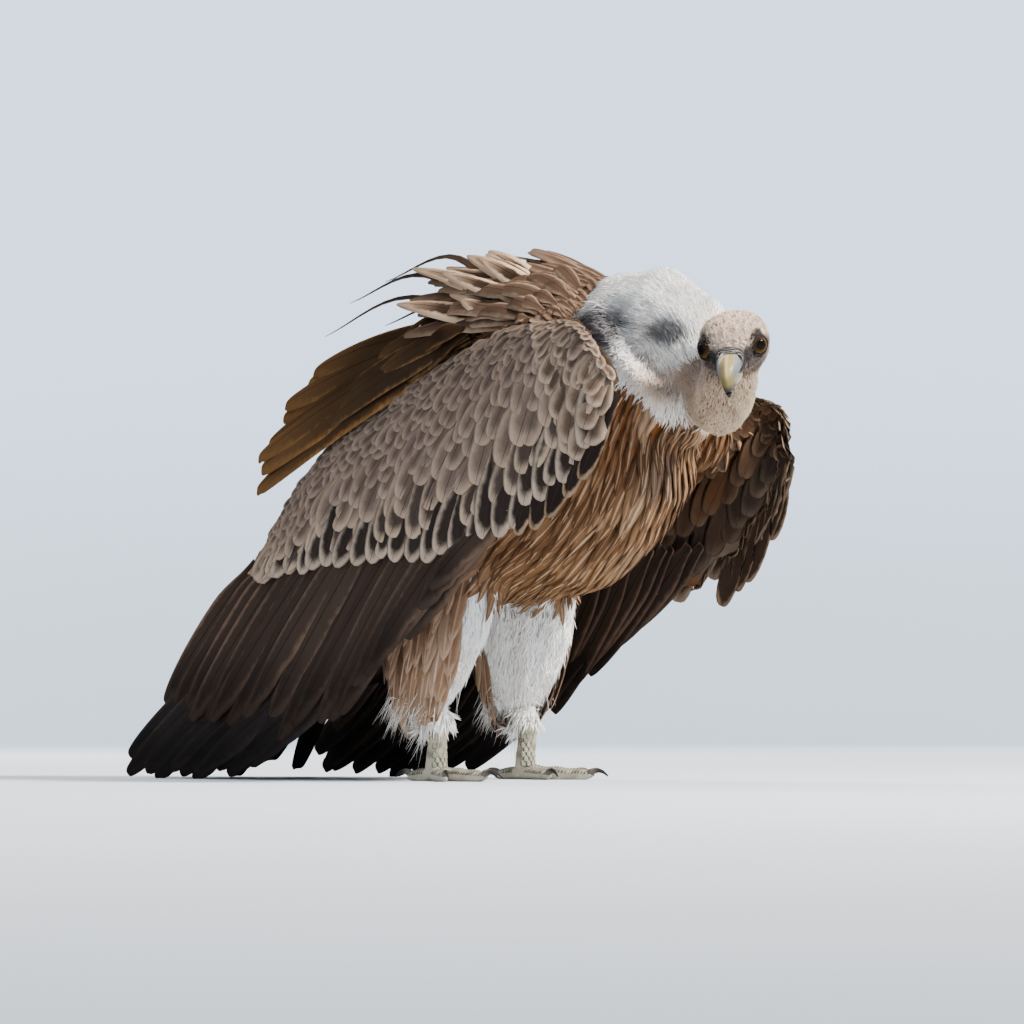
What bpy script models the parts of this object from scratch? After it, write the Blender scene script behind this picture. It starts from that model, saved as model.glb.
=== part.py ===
"""Griffon vulture, a still life-size model standing with half-open wings and its head turned to its right.

Lengths are in metres and +Z is up.  The bird faces -Y, so its right side is -X.  Points are written as
(ahead, right, up) from a spot on the floor between the feet, and bird_point() turns them into the
part's own frame.  The empty "bird" then moves all of it, so that the origin is the middle of its base.
"""

import math

import bmesh
import bpy
from mathutils import Matrix, Vector

# ---- driving dimensions -------------------------------------------------------------------------
GAP = 0.0004                    # clearance between touching solids
WELD = 0.00005                  # points closer than this are one point
FLAT_ENOUGH = math.radians(1)   # neighbouring faces closer to one plane than this are joined
SPIKE_LIMIT = 2.0               # how much farther than the gap a sharp corner may be moved

BODY_SIDES = 20
NECK_SIDES = 12
LIMB_SIDES = 10
TOE_SIDES = 7
CURVE_POWER = 2.2               # superellipse power of the body's sections, 2 is an ellipse

HEAD_PLACE = (0.3465, 0.0683, 0.4310)  # the point midway between the eyes
HEAD_TURN = math.radians(64)        # the bill's bearing, from straight ahead toward the right
HEAD_DIP = math.radians(27)         # the bill points this far below the horizon
HEAD_ROLL = math.radians(5)
EYE_RADIUS = 0.0100
EYE_AHEAD = 0.0005
EYE_SIDE = 0.0245
EYE_UP = 0.0010

STANCE = 0.080                  # from the middle of the body out to each foot
STEP_BACK = -0.004              # the feet's place along the body
TOE_OUT = math.radians(12)
CLAW_ROOT = 0.0042
SOLE_FLAT = 0.0012              # how much of each round toe pad is flat on the floor

ARM_THICK = 0.016               # the coverts and the arm under them
ARM_ROLL = 0.022                # what the fleshy front edge adds to that
SECONDARY_THICK = 0.008
PRIMARY_THICK = 0.007
SCAPULAR_THICK = 0.008
TAIL_THICK = 0.008
TIP_THICK = 0.0025              # every fan of feathers thins to this

FINISHES = {
    "breast_feather": ((0.42, 0.22, 0.09), 0.8),
    "white_down": ((0.86, 0.84, 0.80), 0.9),
    "face_skin": ((0.60, 0.52, 0.45), 0.8),
    "horn": ((0.62, 0.60, 0.42), 0.35),
    "dark_horn": ((0.10, 0.10, 0.11), 0.4),
    "iris": ((0.45, 0.22, 0.05), 0.1),
    "scaled_skin": ((0.55, 0.53, 0.44), 0.7),
    "covert_feather": ((0.33, 0.27, 0.22), 0.8),
    "scapular_feather": ((0.30, 0.17, 0.08), 0.8),
    "flight_feather": ((0.05, 0.035, 0.03), 0.7),
}

RIGHT, LEFT = 1, -1
SIDE_NAMES = {RIGHT: "right", LEFT: "left"}


# ---- helpers ------------------------------------------------------------------------------------
def bird_point(ahead, right, up):
    """Turn (ahead, right, up) into the part's frame: ahead is -Y and the right side is -X."""
    return Vector((-right, -ahead, up))


def finish(name):
    """Give the material of that name, made on first use."""
    material = bpy.data.materials.get(name)
    if material is None:
        colour, roughness = FINISHES[name]
        material = bpy.data.materials.new(name)
        material.use_nodes = True
        shader = material.node_tree.nodes["Principled BSDF"]
        shader.inputs["Base Color"].default_value = (*colour, 1.0)
        shader.inputs["Roughness"].default_value = roughness
        shader.inputs["Metallic"].default_value = 0.0
    return material


def mesh_object(name, points, faces, material, parent):
    """Make one closed solid from its points and faces, with the faces turned outward."""
    mesh = bpy.data.meshes.new(name)
    mesh.from_pydata([tuple(p) for p in points], [], faces)
    shape = bmesh.new()
    shape.from_mesh(mesh)
    bmesh.ops.recalc_face_normals(shape, faces=shape.faces)
    if shape.calc_volume(signed=True) < 0:
        bmesh.ops.reverse_faces(shape, faces=shape.faces)
    bmesh.ops.triangulate(shape, faces=shape.faces)
    shape.to_mesh(mesh)
    shape.free()
    mesh.shade_smooth()
    thing = bpy.data.objects.new(name, mesh)
    bpy.context.scene.collection.objects.link(thing)
    thing.parent = parent
    thing.data.materials.append(finish(material))
    return thing


def smooth_point(points, t):
    """Read a smooth curve through the points (Catmull-Rom), with t running from 0 to 1."""
    spans = len(points) - 1
    place = min(max(t, 0.0), 1.0) * spans
    i = min(int(place), spans - 1)
    x = place - i
    p1, p2 = Vector(points[i]), Vector(points[i + 1])
    p0 = Vector(points[i - 1]) if i > 0 else p1 * 2 - p2
    p3 = Vector(points[i + 2]) if i + 2 <= spans else p2 * 2 - p1
    bend = (p0 * 2 - p1 * 5 + p2 * 4 - p3) * x * x + (p1 * 3 - p0 - p2 * 3 + p3) * x * x * x
    return (p1 * 2 + (p2 - p0) * x + bend) * 0.5


def section(sides, half_width, above, below, power):
    """List the (across, up) corners of a rounded section that may be deeper below than above."""
    corners = []
    for k in range(sides):
        angle = 2 * math.pi * k / sides
        c, s = math.cos(angle), math.sin(angle)
        across = math.copysign(abs(c) ** (2 / power), c) * half_width
        up = math.copysign(abs(s) ** (2 / power), s) * (above if s > 0 else below)
        corners.append((across, up))
    return corners


def loft(name, stations, sides, material, parent, power=2.0, to_frame=bird_point):
    """Skin a row of sections: each station is (centre, half width, depth above, depth below)."""
    centres = [to_frame(*station[0]) for station in stations]
    across = to_frame(0, 1, 0)
    points, faces = [], []
    for i, (_, half_width, above, below) in enumerate(stations):
        along = centres[min(i + 1, len(centres) - 1)] - centres[max(i - 1, 0)]
        along.normalize()
        side = (across - along * across.dot(along)).normalized()
        up = along.cross(side)
        if up.dot(to_frame(-0.3, 0, 1)) < 0:
            up.negate()
        for x, z in section(sides, half_width, above, below, power):
            points.append(centres[i] + side * x + up * z)
    for i in range(len(stations) - 1):
        for k in range(sides):
            m = (k + 1) % sides
            faces.append((i * sides + k, i * sides + m, (i + 1) * sides + m, (i + 1) * sides + k))
    faces.append(tuple(range(sides))[::-1])
    last = (len(stations) - 1) * sides
    faces.append(tuple(range(last, last + sides)))
    return mesh_object(name, points, faces, material, parent)


def shell(name, columns, rows, outer, inner, material, parent):
    """Close the space between two surfaces, each a function of (u, v) from 0 to 1."""
    points = []
    for surface in (outer, inner):
        for i in range(columns + 1):
            for j in range(rows + 1):
                points.append(bird_point(*surface(i / columns, j / rows)))
    layer = (columns + 1) * (rows + 1)

    def at(i, j, which):
        return which * layer + i * (rows + 1) + j

    faces = []
    for i in range(columns):
        for j in range(rows):
            quad = (at(i, j, 0), at(i + 1, j, 0), at(i + 1, j + 1, 0), at(i, j + 1, 0))
            faces.append(quad)
            faces.append(tuple(k + layer for k in reversed(quad)))
    for i in range(columns):
        for j in (0, rows):
            faces.append((at(i, j, 0), at(i, j, 1), at(i + 1, j, 1), at(i + 1, j, 0)))
    for j in range(rows):
        for i in (0, columns):
            faces.append((at(i, j, 0), at(i, j + 1, 0), at(i, j + 1, 1), at(i, j, 1)))
    return mesh_object(name, points, faces, material, parent)


def volume(mesh):
    """Measure what a closed mesh holds."""
    shape = bmesh.new()
    shape.from_mesh(mesh)
    inside = shape.calc_volume(signed=True)
    shape.free()
    return inside


def largest_body(mesh):
    """Weld the mesh's crumbs away, keep its biggest connected body and split that into triangles."""
    shape = bmesh.new()
    shape.from_mesh(mesh)
    bmesh.ops.remove_doubles(shape, verts=shape.verts, dist=WELD)
    bmesh.ops.dissolve_degenerate(shape, edges=shape.edges, dist=WELD)
    waiting, bodies = set(shape.faces), []
    while waiting:
        body, front = set(), [waiting.pop()]
        while front:
            face = front.pop()
            body.add(face)
            for edge in face.edges:
                for other in edge.link_faces:
                    if other in waiting:
                        waiting.discard(other)
                        front.append(other)
        bodies.append(body)
    bodies.sort(key=lambda body: sum(face.calc_area() for face in body))
    for body in bodies[:-1]:
        bmesh.ops.delete(shape, geom=list(body), context="FACES")
    bmesh.ops.dissolve_limit(shape, angle_limit=FLAT_ENOUGH, verts=shape.verts, edges=shape.edges)
    bmesh.ops.triangulate(shape, faces=shape.faces)
    shape.to_mesh(mesh)
    shape.free()
    mesh.shade_smooth()


def combine(thing, tool, operation):
    """Run one Boolean and keep its result, with the second solver where the first one fails."""
    whole, bite = volume(thing.data), volume(tool.data)
    low, high = (whole - bite, whole) if operation == "DIFFERENCE" else (whole, whole + bite)
    slack = 0.02 * whole
    for solver in ("EXACT", "MANIFOLD"):
        cut = thing.modifiers.new("boolean", "BOOLEAN")
        cut.operation = operation
        cut.object = tool
        cut.solver = solver
        bpy.context.view_layer.update()
        evaluated = thing.evaluated_get(bpy.context.evaluated_depsgraph_get())
        result = bpy.data.meshes.new_from_object(evaluated)
        thing.modifiers.remove(cut)
        if max(low, 0.0) - slack < volume(result) < high + slack and volume(result) > 0:
            break
    largest_body(result)
    thing.data = result


def carve(thing, *neighbours, gap=GAP):
    """Cut away what each neighbour, grown by the gap, takes up."""
    for neighbour in neighbours:
        tool = neighbour.copy()
        tool.data = neighbour.data.copy()
        bpy.context.scene.collection.objects.link(tool)
        shape = bmesh.new()
        shape.from_mesh(tool.data)
        shape.normal_update()
        for vertex in shape.verts:
            vertex.co += vertex.normal * gap * min(vertex.calc_shell_factor(), SPIKE_LIMIT)
        shape.to_mesh(tool.data)
        shape.free()
        combine(thing, tool, "DIFFERENCE")
        bpy.data.objects.remove(tool)


# ---- body ---------------------------------------------------------------------------------------
def make_trunk(parent):
    """The feathered body from the root of the tail to the breast."""
    stations = [
        ((-0.250, 0, 0.222), 0.030, 0.012, 0.012),
        ((-0.215, 0, 0.236), 0.062, 0.032, 0.034),
        ((-0.150, 0, 0.262), 0.084, 0.058, 0.066),
        ((-0.075, 0, 0.290), 0.103, 0.092, 0.100),
        ((0.000, 0, 0.316), 0.113, 0.120, 0.148),
        ((0.070, 0, 0.346), 0.117, 0.130, 0.166),
        ((0.132, 0, 0.376), 0.114, 0.118, 0.152),
        ((0.185, 0, 0.400), 0.098, 0.090, 0.124),
        ((0.224, 0, 0.414), 0.068, 0.050, 0.084),
        ((0.244, 0, 0.412), 0.032, 0.024, 0.036),
    ]
    return loft("trunk", stations, BODY_SIDES, "breast_feather", parent, CURVE_POWER)


def make_neck(parent, trunk):
    """The arched, downy neck in two lengths: up over its bend, then down and round to the head."""
    arch = [
        ((0.105, 0, 0.430), 0.030, 0.026, 0.026),
        ((0.135, 0, 0.454), 0.052, 0.044, 0.048),
        ((0.178, 0, 0.468), 0.060, 0.057, 0.056),
        ((0.220, 0, 0.468), 0.060, 0.060, 0.058),
        ((0.253, 0.002, 0.448), 0.051, 0.052, 0.050),
        ((0.270, 0.004, 0.420), 0.040, 0.042, 0.040),
        ((0.278, 0.006, 0.402), 0.026, 0.026, 0.026),
    ]
    bend = [
        ((0.262, 0.004, 0.436), 0.022, 0.022, 0.022),
        ((0.274, 0.006, 0.410), 0.036, 0.034, 0.034),
        ((0.288, 0.014, 0.386), 0.035, 0.034, 0.034),
        ((0.306, 0.028, 0.378), 0.033, 0.033, 0.034),
        ((0.322, 0.042, 0.387), 0.032, 0.033, 0.033),
        ((0.331, 0.050, 0.404), 0.031, 0.032, 0.032),
        ((0.334, 0.053, 0.424), 0.026, 0.028, 0.028),
        ((0.333, 0.052, 0.436), 0.016, 0.018, 0.018),
    ]
    neck_base = loft("neck_base", arch, NECK_SIDES, "white_down", parent)
    neck_front = loft("neck_front", bend, NECK_SIDES, "white_down", parent)
    carve(neck_base, trunk)
    carve(neck_front, neck_base, trunk)
    return neck_base, neck_front


def make_ruff(parent, trunk, neck_base, neck_front):
    """The collar of white down round the root of the neck."""
    around, ring_sides = 14, 6
    centre = Vector((0.196, 0.0, 0.424))
    points, faces = [], []
    for i in range(around):
        angle = 2 * math.pi * i / around
        up, out = math.cos(angle), math.sin(angle)
        spoke = Vector((-0.054 * up, 0.066 * out, 0.062 * up))
        thick = 0.027
        middle = centre + spoke
        axis = Vector((0.78, 0.0, 0.62))
        outward = (spoke - axis * spoke.dot(axis)).normalized()
        for k in range(ring_sides):
            turn = 2 * math.pi * k / ring_sides
            point = middle + outward * thick * math.cos(turn) + axis * thick * 1.3 * math.sin(turn)
            points.append(bird_point(*point))
    for i in range(around):
        for k in range(ring_sides):
            j, m = (i + 1) % around, (k + 1) % ring_sides
            faces.append((i * ring_sides + k, i * ring_sides + m, j * ring_sides + m, j * ring_sides + k))
    ruff = mesh_object("ruff", points, faces, "white_down", parent)
    carve(ruff, trunk, neck_base, neck_front)
    return ruff


# ---- head, built in its own frame: +X toward the bill, +Y its left side, +Z its crown -------------
def head_point(ahead, left, up):
    """Give a point of the head's own frame."""
    return Vector((ahead, left, up))


def make_head_frame(parent):
    """An empty midway between the eyes, turned, dipped and rolled as the head is held."""
    frame = bpy.data.objects.new("head_frame", None)
    bpy.context.scene.collection.objects.link(frame)
    frame.parent = parent
    frame.location = bird_point(*HEAD_PLACE)
    # straight ahead is -Y, so a turn to the bird's right is a clockwise one seen from above
    turn = Matrix.Rotation(math.radians(-90) - HEAD_TURN, 4, "Z")
    dip = Matrix.Rotation(HEAD_DIP, 4, "Y")
    roll = Matrix.Rotation(HEAD_ROLL, 4, "X")
    frame.rotation_euler = (turn @ dip @ roll).to_euler()
    return frame


def make_head(frame, parent, trunk_parts):
    """The skull with its short down, the two halves of the bill and the eyes."""
    skull = [
        ((-0.060, 0, -0.006), 0.008, 0.008, 0.008),
        ((-0.055, 0, -0.005), 0.019, 0.017, 0.018),
        ((-0.043, 0, -0.002), 0.030, 0.025, 0.030),
        ((-0.026, 0, 0.000), 0.0362, 0.0285, 0.0370),
        ((-0.008, 0, 0.001), 0.0358, 0.0275, 0.0370),
        ((0.008, 0, 0.000), 0.0300, 0.0240, 0.0320),
        ((0.019, 0, -0.003), 0.0210, 0.0175, 0.0240),
        ((0.028, 0, -0.006), 0.0150, 0.0125, 0.0165),
        ((0.034, 0, -0.007), 0.0100, 0.0080, 0.0110),
    ]
    beak = [
        ((0.016, 0, -0.0015), 0.0080, 0.0070, 0.0080),
        ((0.024, 0, -0.0012), 0.0115, 0.0095, 0.0105),
        ((0.036, 0, -0.0008), 0.0118, 0.0105, 0.0125),
        ((0.047, 0, -0.0012), 0.0112, 0.0108, 0.0125),
        ((0.057, 0, -0.0045), 0.0092, 0.0098, 0.0100),
        ((0.064, 0, -0.0105), 0.0064, 0.0078, 0.0068),
        ((0.0675, 0, -0.0180), 0.0038, 0.0046, 0.0042),
        ((0.0672, 0, -0.0245), 0.0015, 0.0018, 0.0018),
    ]
    under = [
        ((0.014, 0, -0.0190), 0.0070, 0.0030, 0.0040),
        ((0.024, 0, -0.0190), 0.0100, 0.0036, 0.0046),
        ((0.040, 0, -0.0185), 0.0092, 0.0036, 0.0044),
        ((0.054, 0, -0.0172), 0.0066, 0.0030, 0.0036),
        ((0.060, 0, -0.0165), 0.0036, 0.0018, 0.0022),
    ]
    head = loft("head", skull, 14, "face_skin", frame, 2.15, head_point)
    bill_upper = loft("bill_upper", beak, 14, "horn", frame, 2.0, head_point)
    bill_lower = loft("bill_lower", under, 10, "horn", frame, 2.0, head_point)
    eyes = []
    for side in (RIGHT, LEFT):
        eye = make_ball("eye_" + SIDE_NAMES[side], EYE_RADIUS, "iris", frame)
        eye.location = (EYE_AHEAD, -side * EYE_SIDE, EYE_UP)
        eyes.append(eye)
    carve(bill_lower, bill_upper)
    carve(head, *eyes)
    carve(bill_upper, head)
    carve(bill_lower, head)
    for part in trunk_parts:
        carve(part, head)
    return head


def make_ball(name, radius, material, parent):
    """A round ball, such as an eye."""
    ball = bmesh.new()
    bmesh.ops.create_uvsphere(ball, u_segments=10, v_segments=7, radius=radius)
    mesh = bpy.data.meshes.new(name)
    ball.to_mesh(mesh)
    ball.free()
    mesh.shade_smooth()
    mesh.materials.append(finish(material))
    thing = bpy.data.objects.new(name, mesh)
    bpy.context.scene.collection.objects.link(thing)
    thing.parent = parent
    return thing


# ---- legs ---------------------------------------------------------------------------------------
def make_leg(parent, side, trunk):
    """One leg: the feathered thigh, the bare scaled shank, the foot of four toes and its claws."""
    name = SIDE_NAMES[side]
    foot_right = side * STANCE

    def place(ahead, out, up):
        return (STEP_BACK + ahead, foot_right + side * out, up)

    thigh = loft("thigh_" + name, [
        (place(-0.004, -0.008, 0.262), 0.040, 0.050, 0.050),
        (place(-0.004, -0.012, 0.232), 0.046, 0.078, 0.078),
        (place(-0.006, -0.008, 0.190), 0.046, 0.076, 0.078),
        (place(-0.006, -0.002, 0.150), 0.043, 0.066, 0.070),
        (place(-0.008, 0.002, 0.110), 0.037, 0.053, 0.052),
        (place(-0.010, 0.003, 0.080), 0.030, 0.040, 0.037),
        (place(-0.004, 0.001, 0.060), 0.020, 0.026, 0.022),
        (place(-0.001, 0.000, 0.050), 0.014, 0.018, 0.015),
    ], LIMB_SIDES + 2, "white_down", parent, 2.1)
    shank = loft("shank_" + name, [
        (place(0.002, 0.000, 0.070), 0.0085, 0.0100, 0.0090),
        (place(0.002, 0.000, 0.056), 0.0094, 0.0112, 0.0100),
        (place(0.001, 0.001, 0.040), 0.0096, 0.0112, 0.0100),
        (place(-0.002, 0.001, 0.022), 0.0102, 0.0116, 0.0104),
        (place(-0.003, 0.001, 0.012), 0.0090, 0.0100, 0.0090),
    ], LIMB_SIDES, "scaled_skin", parent)
    carve(thigh, trunk, shank)
    foot, claws = make_foot(parent, side, name, shank)
    return thigh, shank, foot, claws


def make_foot(parent, side, name, shank):
    """Three toes ahead and one behind, with flat soles, joined to one pad under the shank."""
    toes = {
        "inner": (math.radians(-38), 0.052, 0.0076),
        "middle": (math.radians(0), 0.076, 0.0080),
        "outer": (math.radians(32), 0.056, 0.0072),
        "hind": (math.radians(172), 0.034, 0.0076),
    }
    centre = (STEP_BACK - 0.002, side * (STANCE + 0.001))
    foot, claws = None, []
    for toe, (bearing, length, radius) in toes.items():
        angle = TOE_OUT + bearing
        ahead, out = math.cos(angle), math.sin(angle)

        def along(distance, up, ahead=ahead, out=out):
            return (centre[0] + ahead * distance, centre[1] + side * out * distance, up)

        sole = radius - SOLE_FLAT
        stations = [(along(-0.012, sole + 0.001), radius * 0.7, radius * 0.8, radius * 0.8)]
        knuckles = 4 if length > 0.04 else 2
        for k in range(knuckles + 1):
            share = k / knuckles
            pad = radius * (1.0 - 0.22 * share) * (1.06 if k % 2 else 0.92)
            top = pad * (1.25 - 0.25 * share)
            stations.append((along(0.004 + (length - 0.004) * share, pad - SOLE_FLAT), pad, top, pad))
        stations.append((along(length + 0.004, sole * 0.9), radius * 0.45, radius * 0.5, radius * 0.5))
        digit = loft(f"toe_{toe}_{name}", stations, TOE_SIDES, "scaled_skin", parent)
        flatten(digit, 0.0)
        claws.append(make_claw(parent, f"claw_{toe}_{name}", along, length))
        if foot is None:
            foot = digit
            foot.name = "foot_" + name
        else:
            combine(foot, digit, "UNION")
            bpy.data.objects.remove(digit)
    carve(foot, shank)
    for claw in claws:
        carve(claw, foot)
        flatten(claw, 0.0)
    return foot, claws


def make_claw(parent, name, along, length):
    """A blunt, down-curved claw at the end of a toe."""
    reach = 0.021
    stations = []
    for k in range(5):
        share = k / 4
        up = 0.0072 + 0.0042 * math.sin(math.pi * share * 0.8) - 0.0062 * share ** 2
        radius = CLAW_ROOT * (1.0 - 0.78 * share)
        stations.append((along(length - 0.002 + reach * share, up), radius * 0.85, radius, radius))
    return loft(name, stations, 6, "dark_horn", parent)


def flatten(thing, floor):
    """Press whatever is below the floor up onto it, which leaves a flat sole."""
    for vertex in thing.data.vertices:
        vertex.co.z = max(vertex.co.z, floor)


# ---- wings and tail -----------------------------------------------------------------------------
# Each wing hangs between an upper edge, at the back, and a lower edge, the leading one.  Every list
# runs from the wrist toward the tail, and the left wing is held lower and farther out than the right.
WINGS = {
    RIGHT: {
        "arm_upper": [(0.195, 0.148, 0.458), (0.130, 0.138, 0.456), (0.050, 0.124, 0.432),
                      (-0.060, 0.106, 0.385), (-0.160, 0.091, 0.325), (-0.250, 0.076, 0.216)],
        "arm_lower": [(0.277, 0.192, 0.385), (0.250, 0.190, 0.325), (0.165, 0.176, 0.262),
                      (0.070, 0.160, 0.228), (-0.070, 0.136, 0.224), (-0.215, 0.108, 0.208)],
        "secondary_roots": [(0.175, 0.160, 0.300), (0.070, 0.142, 0.290), (-0.080, 0.120, 0.270),
                            (-0.252, 0.074, 0.226)],
        "secondary_tips": [(0.062, 0.160, 0.215), (-0.040, 0.142, 0.122), (-0.115, 0.128, 0.058),
                           (-0.215, 0.111, 0.056), (-0.300, 0.097, 0.066), (-0.382, 0.061, 0.078)],
        "primary_roots": [(0.000, 0.128, 0.165), (-0.120, 0.104, 0.150), (-0.290, 0.068, 0.135)],
        "primary_tips": [(-0.205, 0.112, 0.016), (-0.270, 0.102, -0.002), (-0.335, 0.094, -0.002),
                         (-0.392, 0.084, -0.002), (-0.428, 0.064, 0.024)],
    },
    LEFT: {
        "arm_upper": [(0.190, -0.150, 0.402), (0.120, -0.146, 0.412), (0.045, -0.132, 0.398),
                      (-0.050, -0.120, 0.356), (-0.140, -0.112, 0.296), (-0.215, -0.110, 0.205)],
        "arm_lower": [(0.249, -0.190, 0.345), (0.229, -0.190, 0.280), (0.166, -0.184, 0.208),
                      (0.070, -0.176, 0.182), (-0.055, -0.166, 0.182), (-0.190, -0.152, 0.180)],
        "secondary_roots": [(0.175, -0.160, 0.245), (0.070, -0.144, 0.240), (-0.060, -0.132, 0.226),
                            (-0.180, -0.122, 0.195)],
        "secondary_tips": [(0.065, -0.172, 0.158), (-0.008, -0.166, 0.098), (-0.070, -0.162, 0.052),
                           (-0.160, -0.156, 0.046), (-0.240, -0.146, 0.050), (-0.305, -0.128, 0.056)],
        "primary_roots": [(0.030, -0.154, 0.125), (-0.090, -0.142, 0.118), (-0.235, -0.124, 0.110)],
        "primary_tips": [(-0.130, -0.158, 0.014), (-0.195, -0.160, -0.002), (-0.255, -0.158, -0.002),
                         (-0.305, -0.150, -0.002), (-0.335, -0.134, 0.016)],
    },
}


def make_arm(parent, side):
    """The fleshy arm and the coverts that hang from it, thickest along the wrist."""
    edges = WINGS[side]
    feathers, rows = 8, 6

    def thickness(u, v):
        round_off = math.sin(math.pi * min(max(v * 0.92 + 0.04, 0.0), 1.0)) ** 0.6
        front = (1.0 - u) ** 1.5
        ends = min(1.0, 0.35 + 4.0 * u) * min(1.0, 0.3 + 3.0 * (1.0 - u))
        return TIP_THICK + (ARM_THICK * (1.0 - 0.75 * v ** 4) + ARM_ROLL * front) * round_off * ends

    def outer(u, v):
        notch = 0.06 * abs(2 * (u * feathers % 1.0) - 1) ** 2 * min(1.0, 3 * u)
        across = v * (1.0 - notch * v)
        upper, lower = smooth_point(edges["arm_upper"], u), smooth_point(edges["arm_lower"], u)
        point = upper.lerp(lower, across)
        bulge = (0.016 + 0.016 * (1 - u)) * 4 * v * (1 - v) * min(1.0, 0.3 + 2.5 * (1 - u))
        return point + Vector((0.35, side, 0.45)).normalized() * bulge

    def inner(u, v):
        return outer(u, v) - Vector((0.25, side, 0.15)).normalized() * thickness(u, v)

    return shell("wing_arm_" + SIDE_NAMES[side], feathers * 2, rows, outer, inner,
                 "covert_feather", parent)


def make_fan(name, roots, tips, feathers, thick, inward, notch, sag, material, parent, rows=3):
    """A fan of overlapping feathers as one thick leaf, with a rounded tip to each feather."""
    per_feather = 3
    inward = Vector(inward).normalized()

    def outer(u, v):
        x = u * feathers % 1.0
        gap = notch * abs(2 * x - 1) ** 3
        along = v * (1.0 - gap * v)
        point = smooth_point(roots, u).lerp(smooth_point(tips, u), along)
        return point - inward * sag * 4 * v * (1 - v)

    def inner(u, v):
        return outer(u, v) + inward * (thick + (TIP_THICK - thick) * v)

    return shell(name, feathers * per_feather, rows, outer, inner, material, parent)


def make_shoulder(parent, side, blockers):
    """The feathered web between the breast and the wrist, which closes the front of the wing."""
    drop = 0.0 if side == RIGHT else -0.030
    shoulder = loft("shoulder_" + SIDE_NAMES[side], [
        ((0.010, side * 0.080, 0.392 + drop), 0.012, 0.012, 0.014),
        ((0.030, side * 0.085, 0.398 + drop), 0.030, 0.034, 0.046),
        ((0.085, side * 0.103, 0.404 + drop), 0.036, 0.040, 0.062),
        ((0.145, side * 0.127, 0.402 + drop), 0.034, 0.042, 0.060),
        ((0.190, side * 0.146, 0.396 + drop), 0.026, 0.034, 0.046),
        ((0.210, side * 0.156, 0.392 + drop), 0.010, 0.012, 0.016),
    ], LIMB_SIDES, "breast_feather", parent, CURVE_POWER)
    carve(shoulder, *blockers)
    return shoulder


def make_wing(parent, side, blockers):
    """One wing: the arm with its coverts, the secondaries below them and the primaries under those."""
    name, edges = SIDE_NAMES[side], WINGS[side]
    inward = (0.1, -side, 0.1)
    arm = make_arm(parent, side)
    secondaries = make_fan("secondaries_" + name, edges["secondary_roots"], edges["secondary_tips"],
                           9, SECONDARY_THICK, inward, 0.07, 0.006, "flight_feather", parent)
    primaries = make_fan("primaries_" + name, edges["primary_roots"], edges["primary_tips"],
                         6, PRIMARY_THICK, inward, 0.12, 0.004, "flight_feather", parent)
    flatten(primaries, 0.0)
    carve(arm, *blockers)
    carve(secondaries, arm, *blockers)
    carve(primaries, secondaries, *blockers)
    shoulder = make_shoulder(parent, side, (arm, secondaries, *blockers))
    return arm, secondaries, primaries, shoulder


def make_back(parent, blockers, wings):
    """The mantle, raised by the wind, and the long scapulars that lie on each side behind it."""
    mantle = make_fan(
        "mantle",
        [(0.115, 0.105, 0.462), (0.150, 0.060, 0.488), (0.135, 0.000, 0.496),
         (0.150, -0.060, 0.484), (0.110, -0.110, 0.440)],
        [(0.010, 0.085, 0.468), (-0.040, 0.030, 0.535), (-0.010, 0.005, 0.522),
         (0.000, -0.050, 0.524), (-0.060, -0.105, 0.430)],
        7, 0.016, (0.0, 0.0, -1.0), 0.10, 0.010, "scapular_feather", parent,
    )
    carve(mantle, *blockers)
    for arm, _, _, shoulder in wings:
        carve(mantle, arm, shoulder)
    for side, (arm, secondaries, _, shoulder) in zip((RIGHT, LEFT), wings):
        drop = 0.0 if side == RIGHT else -0.025
        roots = [(0.060, side * 0.108, 0.450 + drop), (0.030, side * 0.075, 0.468),
                 (0.020, side * 0.035, 0.468)]
        tips = [(-0.226, side * 0.076, 0.300 + drop), (-0.246, side * 0.060, 0.345 + drop),
                (-0.225, side * 0.040, 0.400 + drop), (-0.190, side * 0.020, 0.432 + drop)]
        scapulars = make_fan("scapulars_" + SIDE_NAMES[side], roots, tips, 5, SCAPULAR_THICK,
                             (0.0, -0.5 * side, -1.0), 0.10, 0.022, "scapular_feather", parent)
        carve(scapulars, arm, secondaries, shoulder, mantle, *blockers)


def make_tail(parent, blockers):
    """The drooping fan of black tail feathers, swung a little to the left."""
    roots = [(-0.165, 0.045, 0.235), (-0.175, 0.020, 0.252), (-0.178, 0.000, 0.256),
             (-0.175, -0.022, 0.252), (-0.165, -0.050, 0.232)]
    tips = [(-0.385, 0.045, 0.012), (-0.412, 0.015, 0.012), (-0.408, -0.030, 0.012),
            (-0.375, -0.075, 0.012), (-0.320, -0.112, 0.012)]
    tail = make_fan("tail", roots, tips, 11, TAIL_THICK, (0.7, 0.0, -0.7), 0.05, 0.006,
                    "flight_feather", parent)
    flatten(tail, 0.0)
    carve(tail, *blockers)
    return tail


def centre_on_base(bird):
    """Move the whole bird so that the origin is the middle of the base of its box."""
    bpy.context.view_layer.update()
    solids = [thing for thing in bpy.data.objects if thing.type == "MESH"]
    corners = [thing.matrix_world @ vertex.co for thing in solids for vertex in thing.data.vertices]
    middle_x = (min(c.x for c in corners) + max(c.x for c in corners)) / 2
    middle_y = (min(c.y for c in corners) + max(c.y for c in corners)) / 2
    bird.location = (-middle_x, -middle_y, 0.0)
    bpy.context.view_layer.update()


def clear_scene():
    """Remove whatever the file starts with."""
    for thing in list(bpy.data.objects):
        bpy.data.objects.remove(thing)


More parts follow.
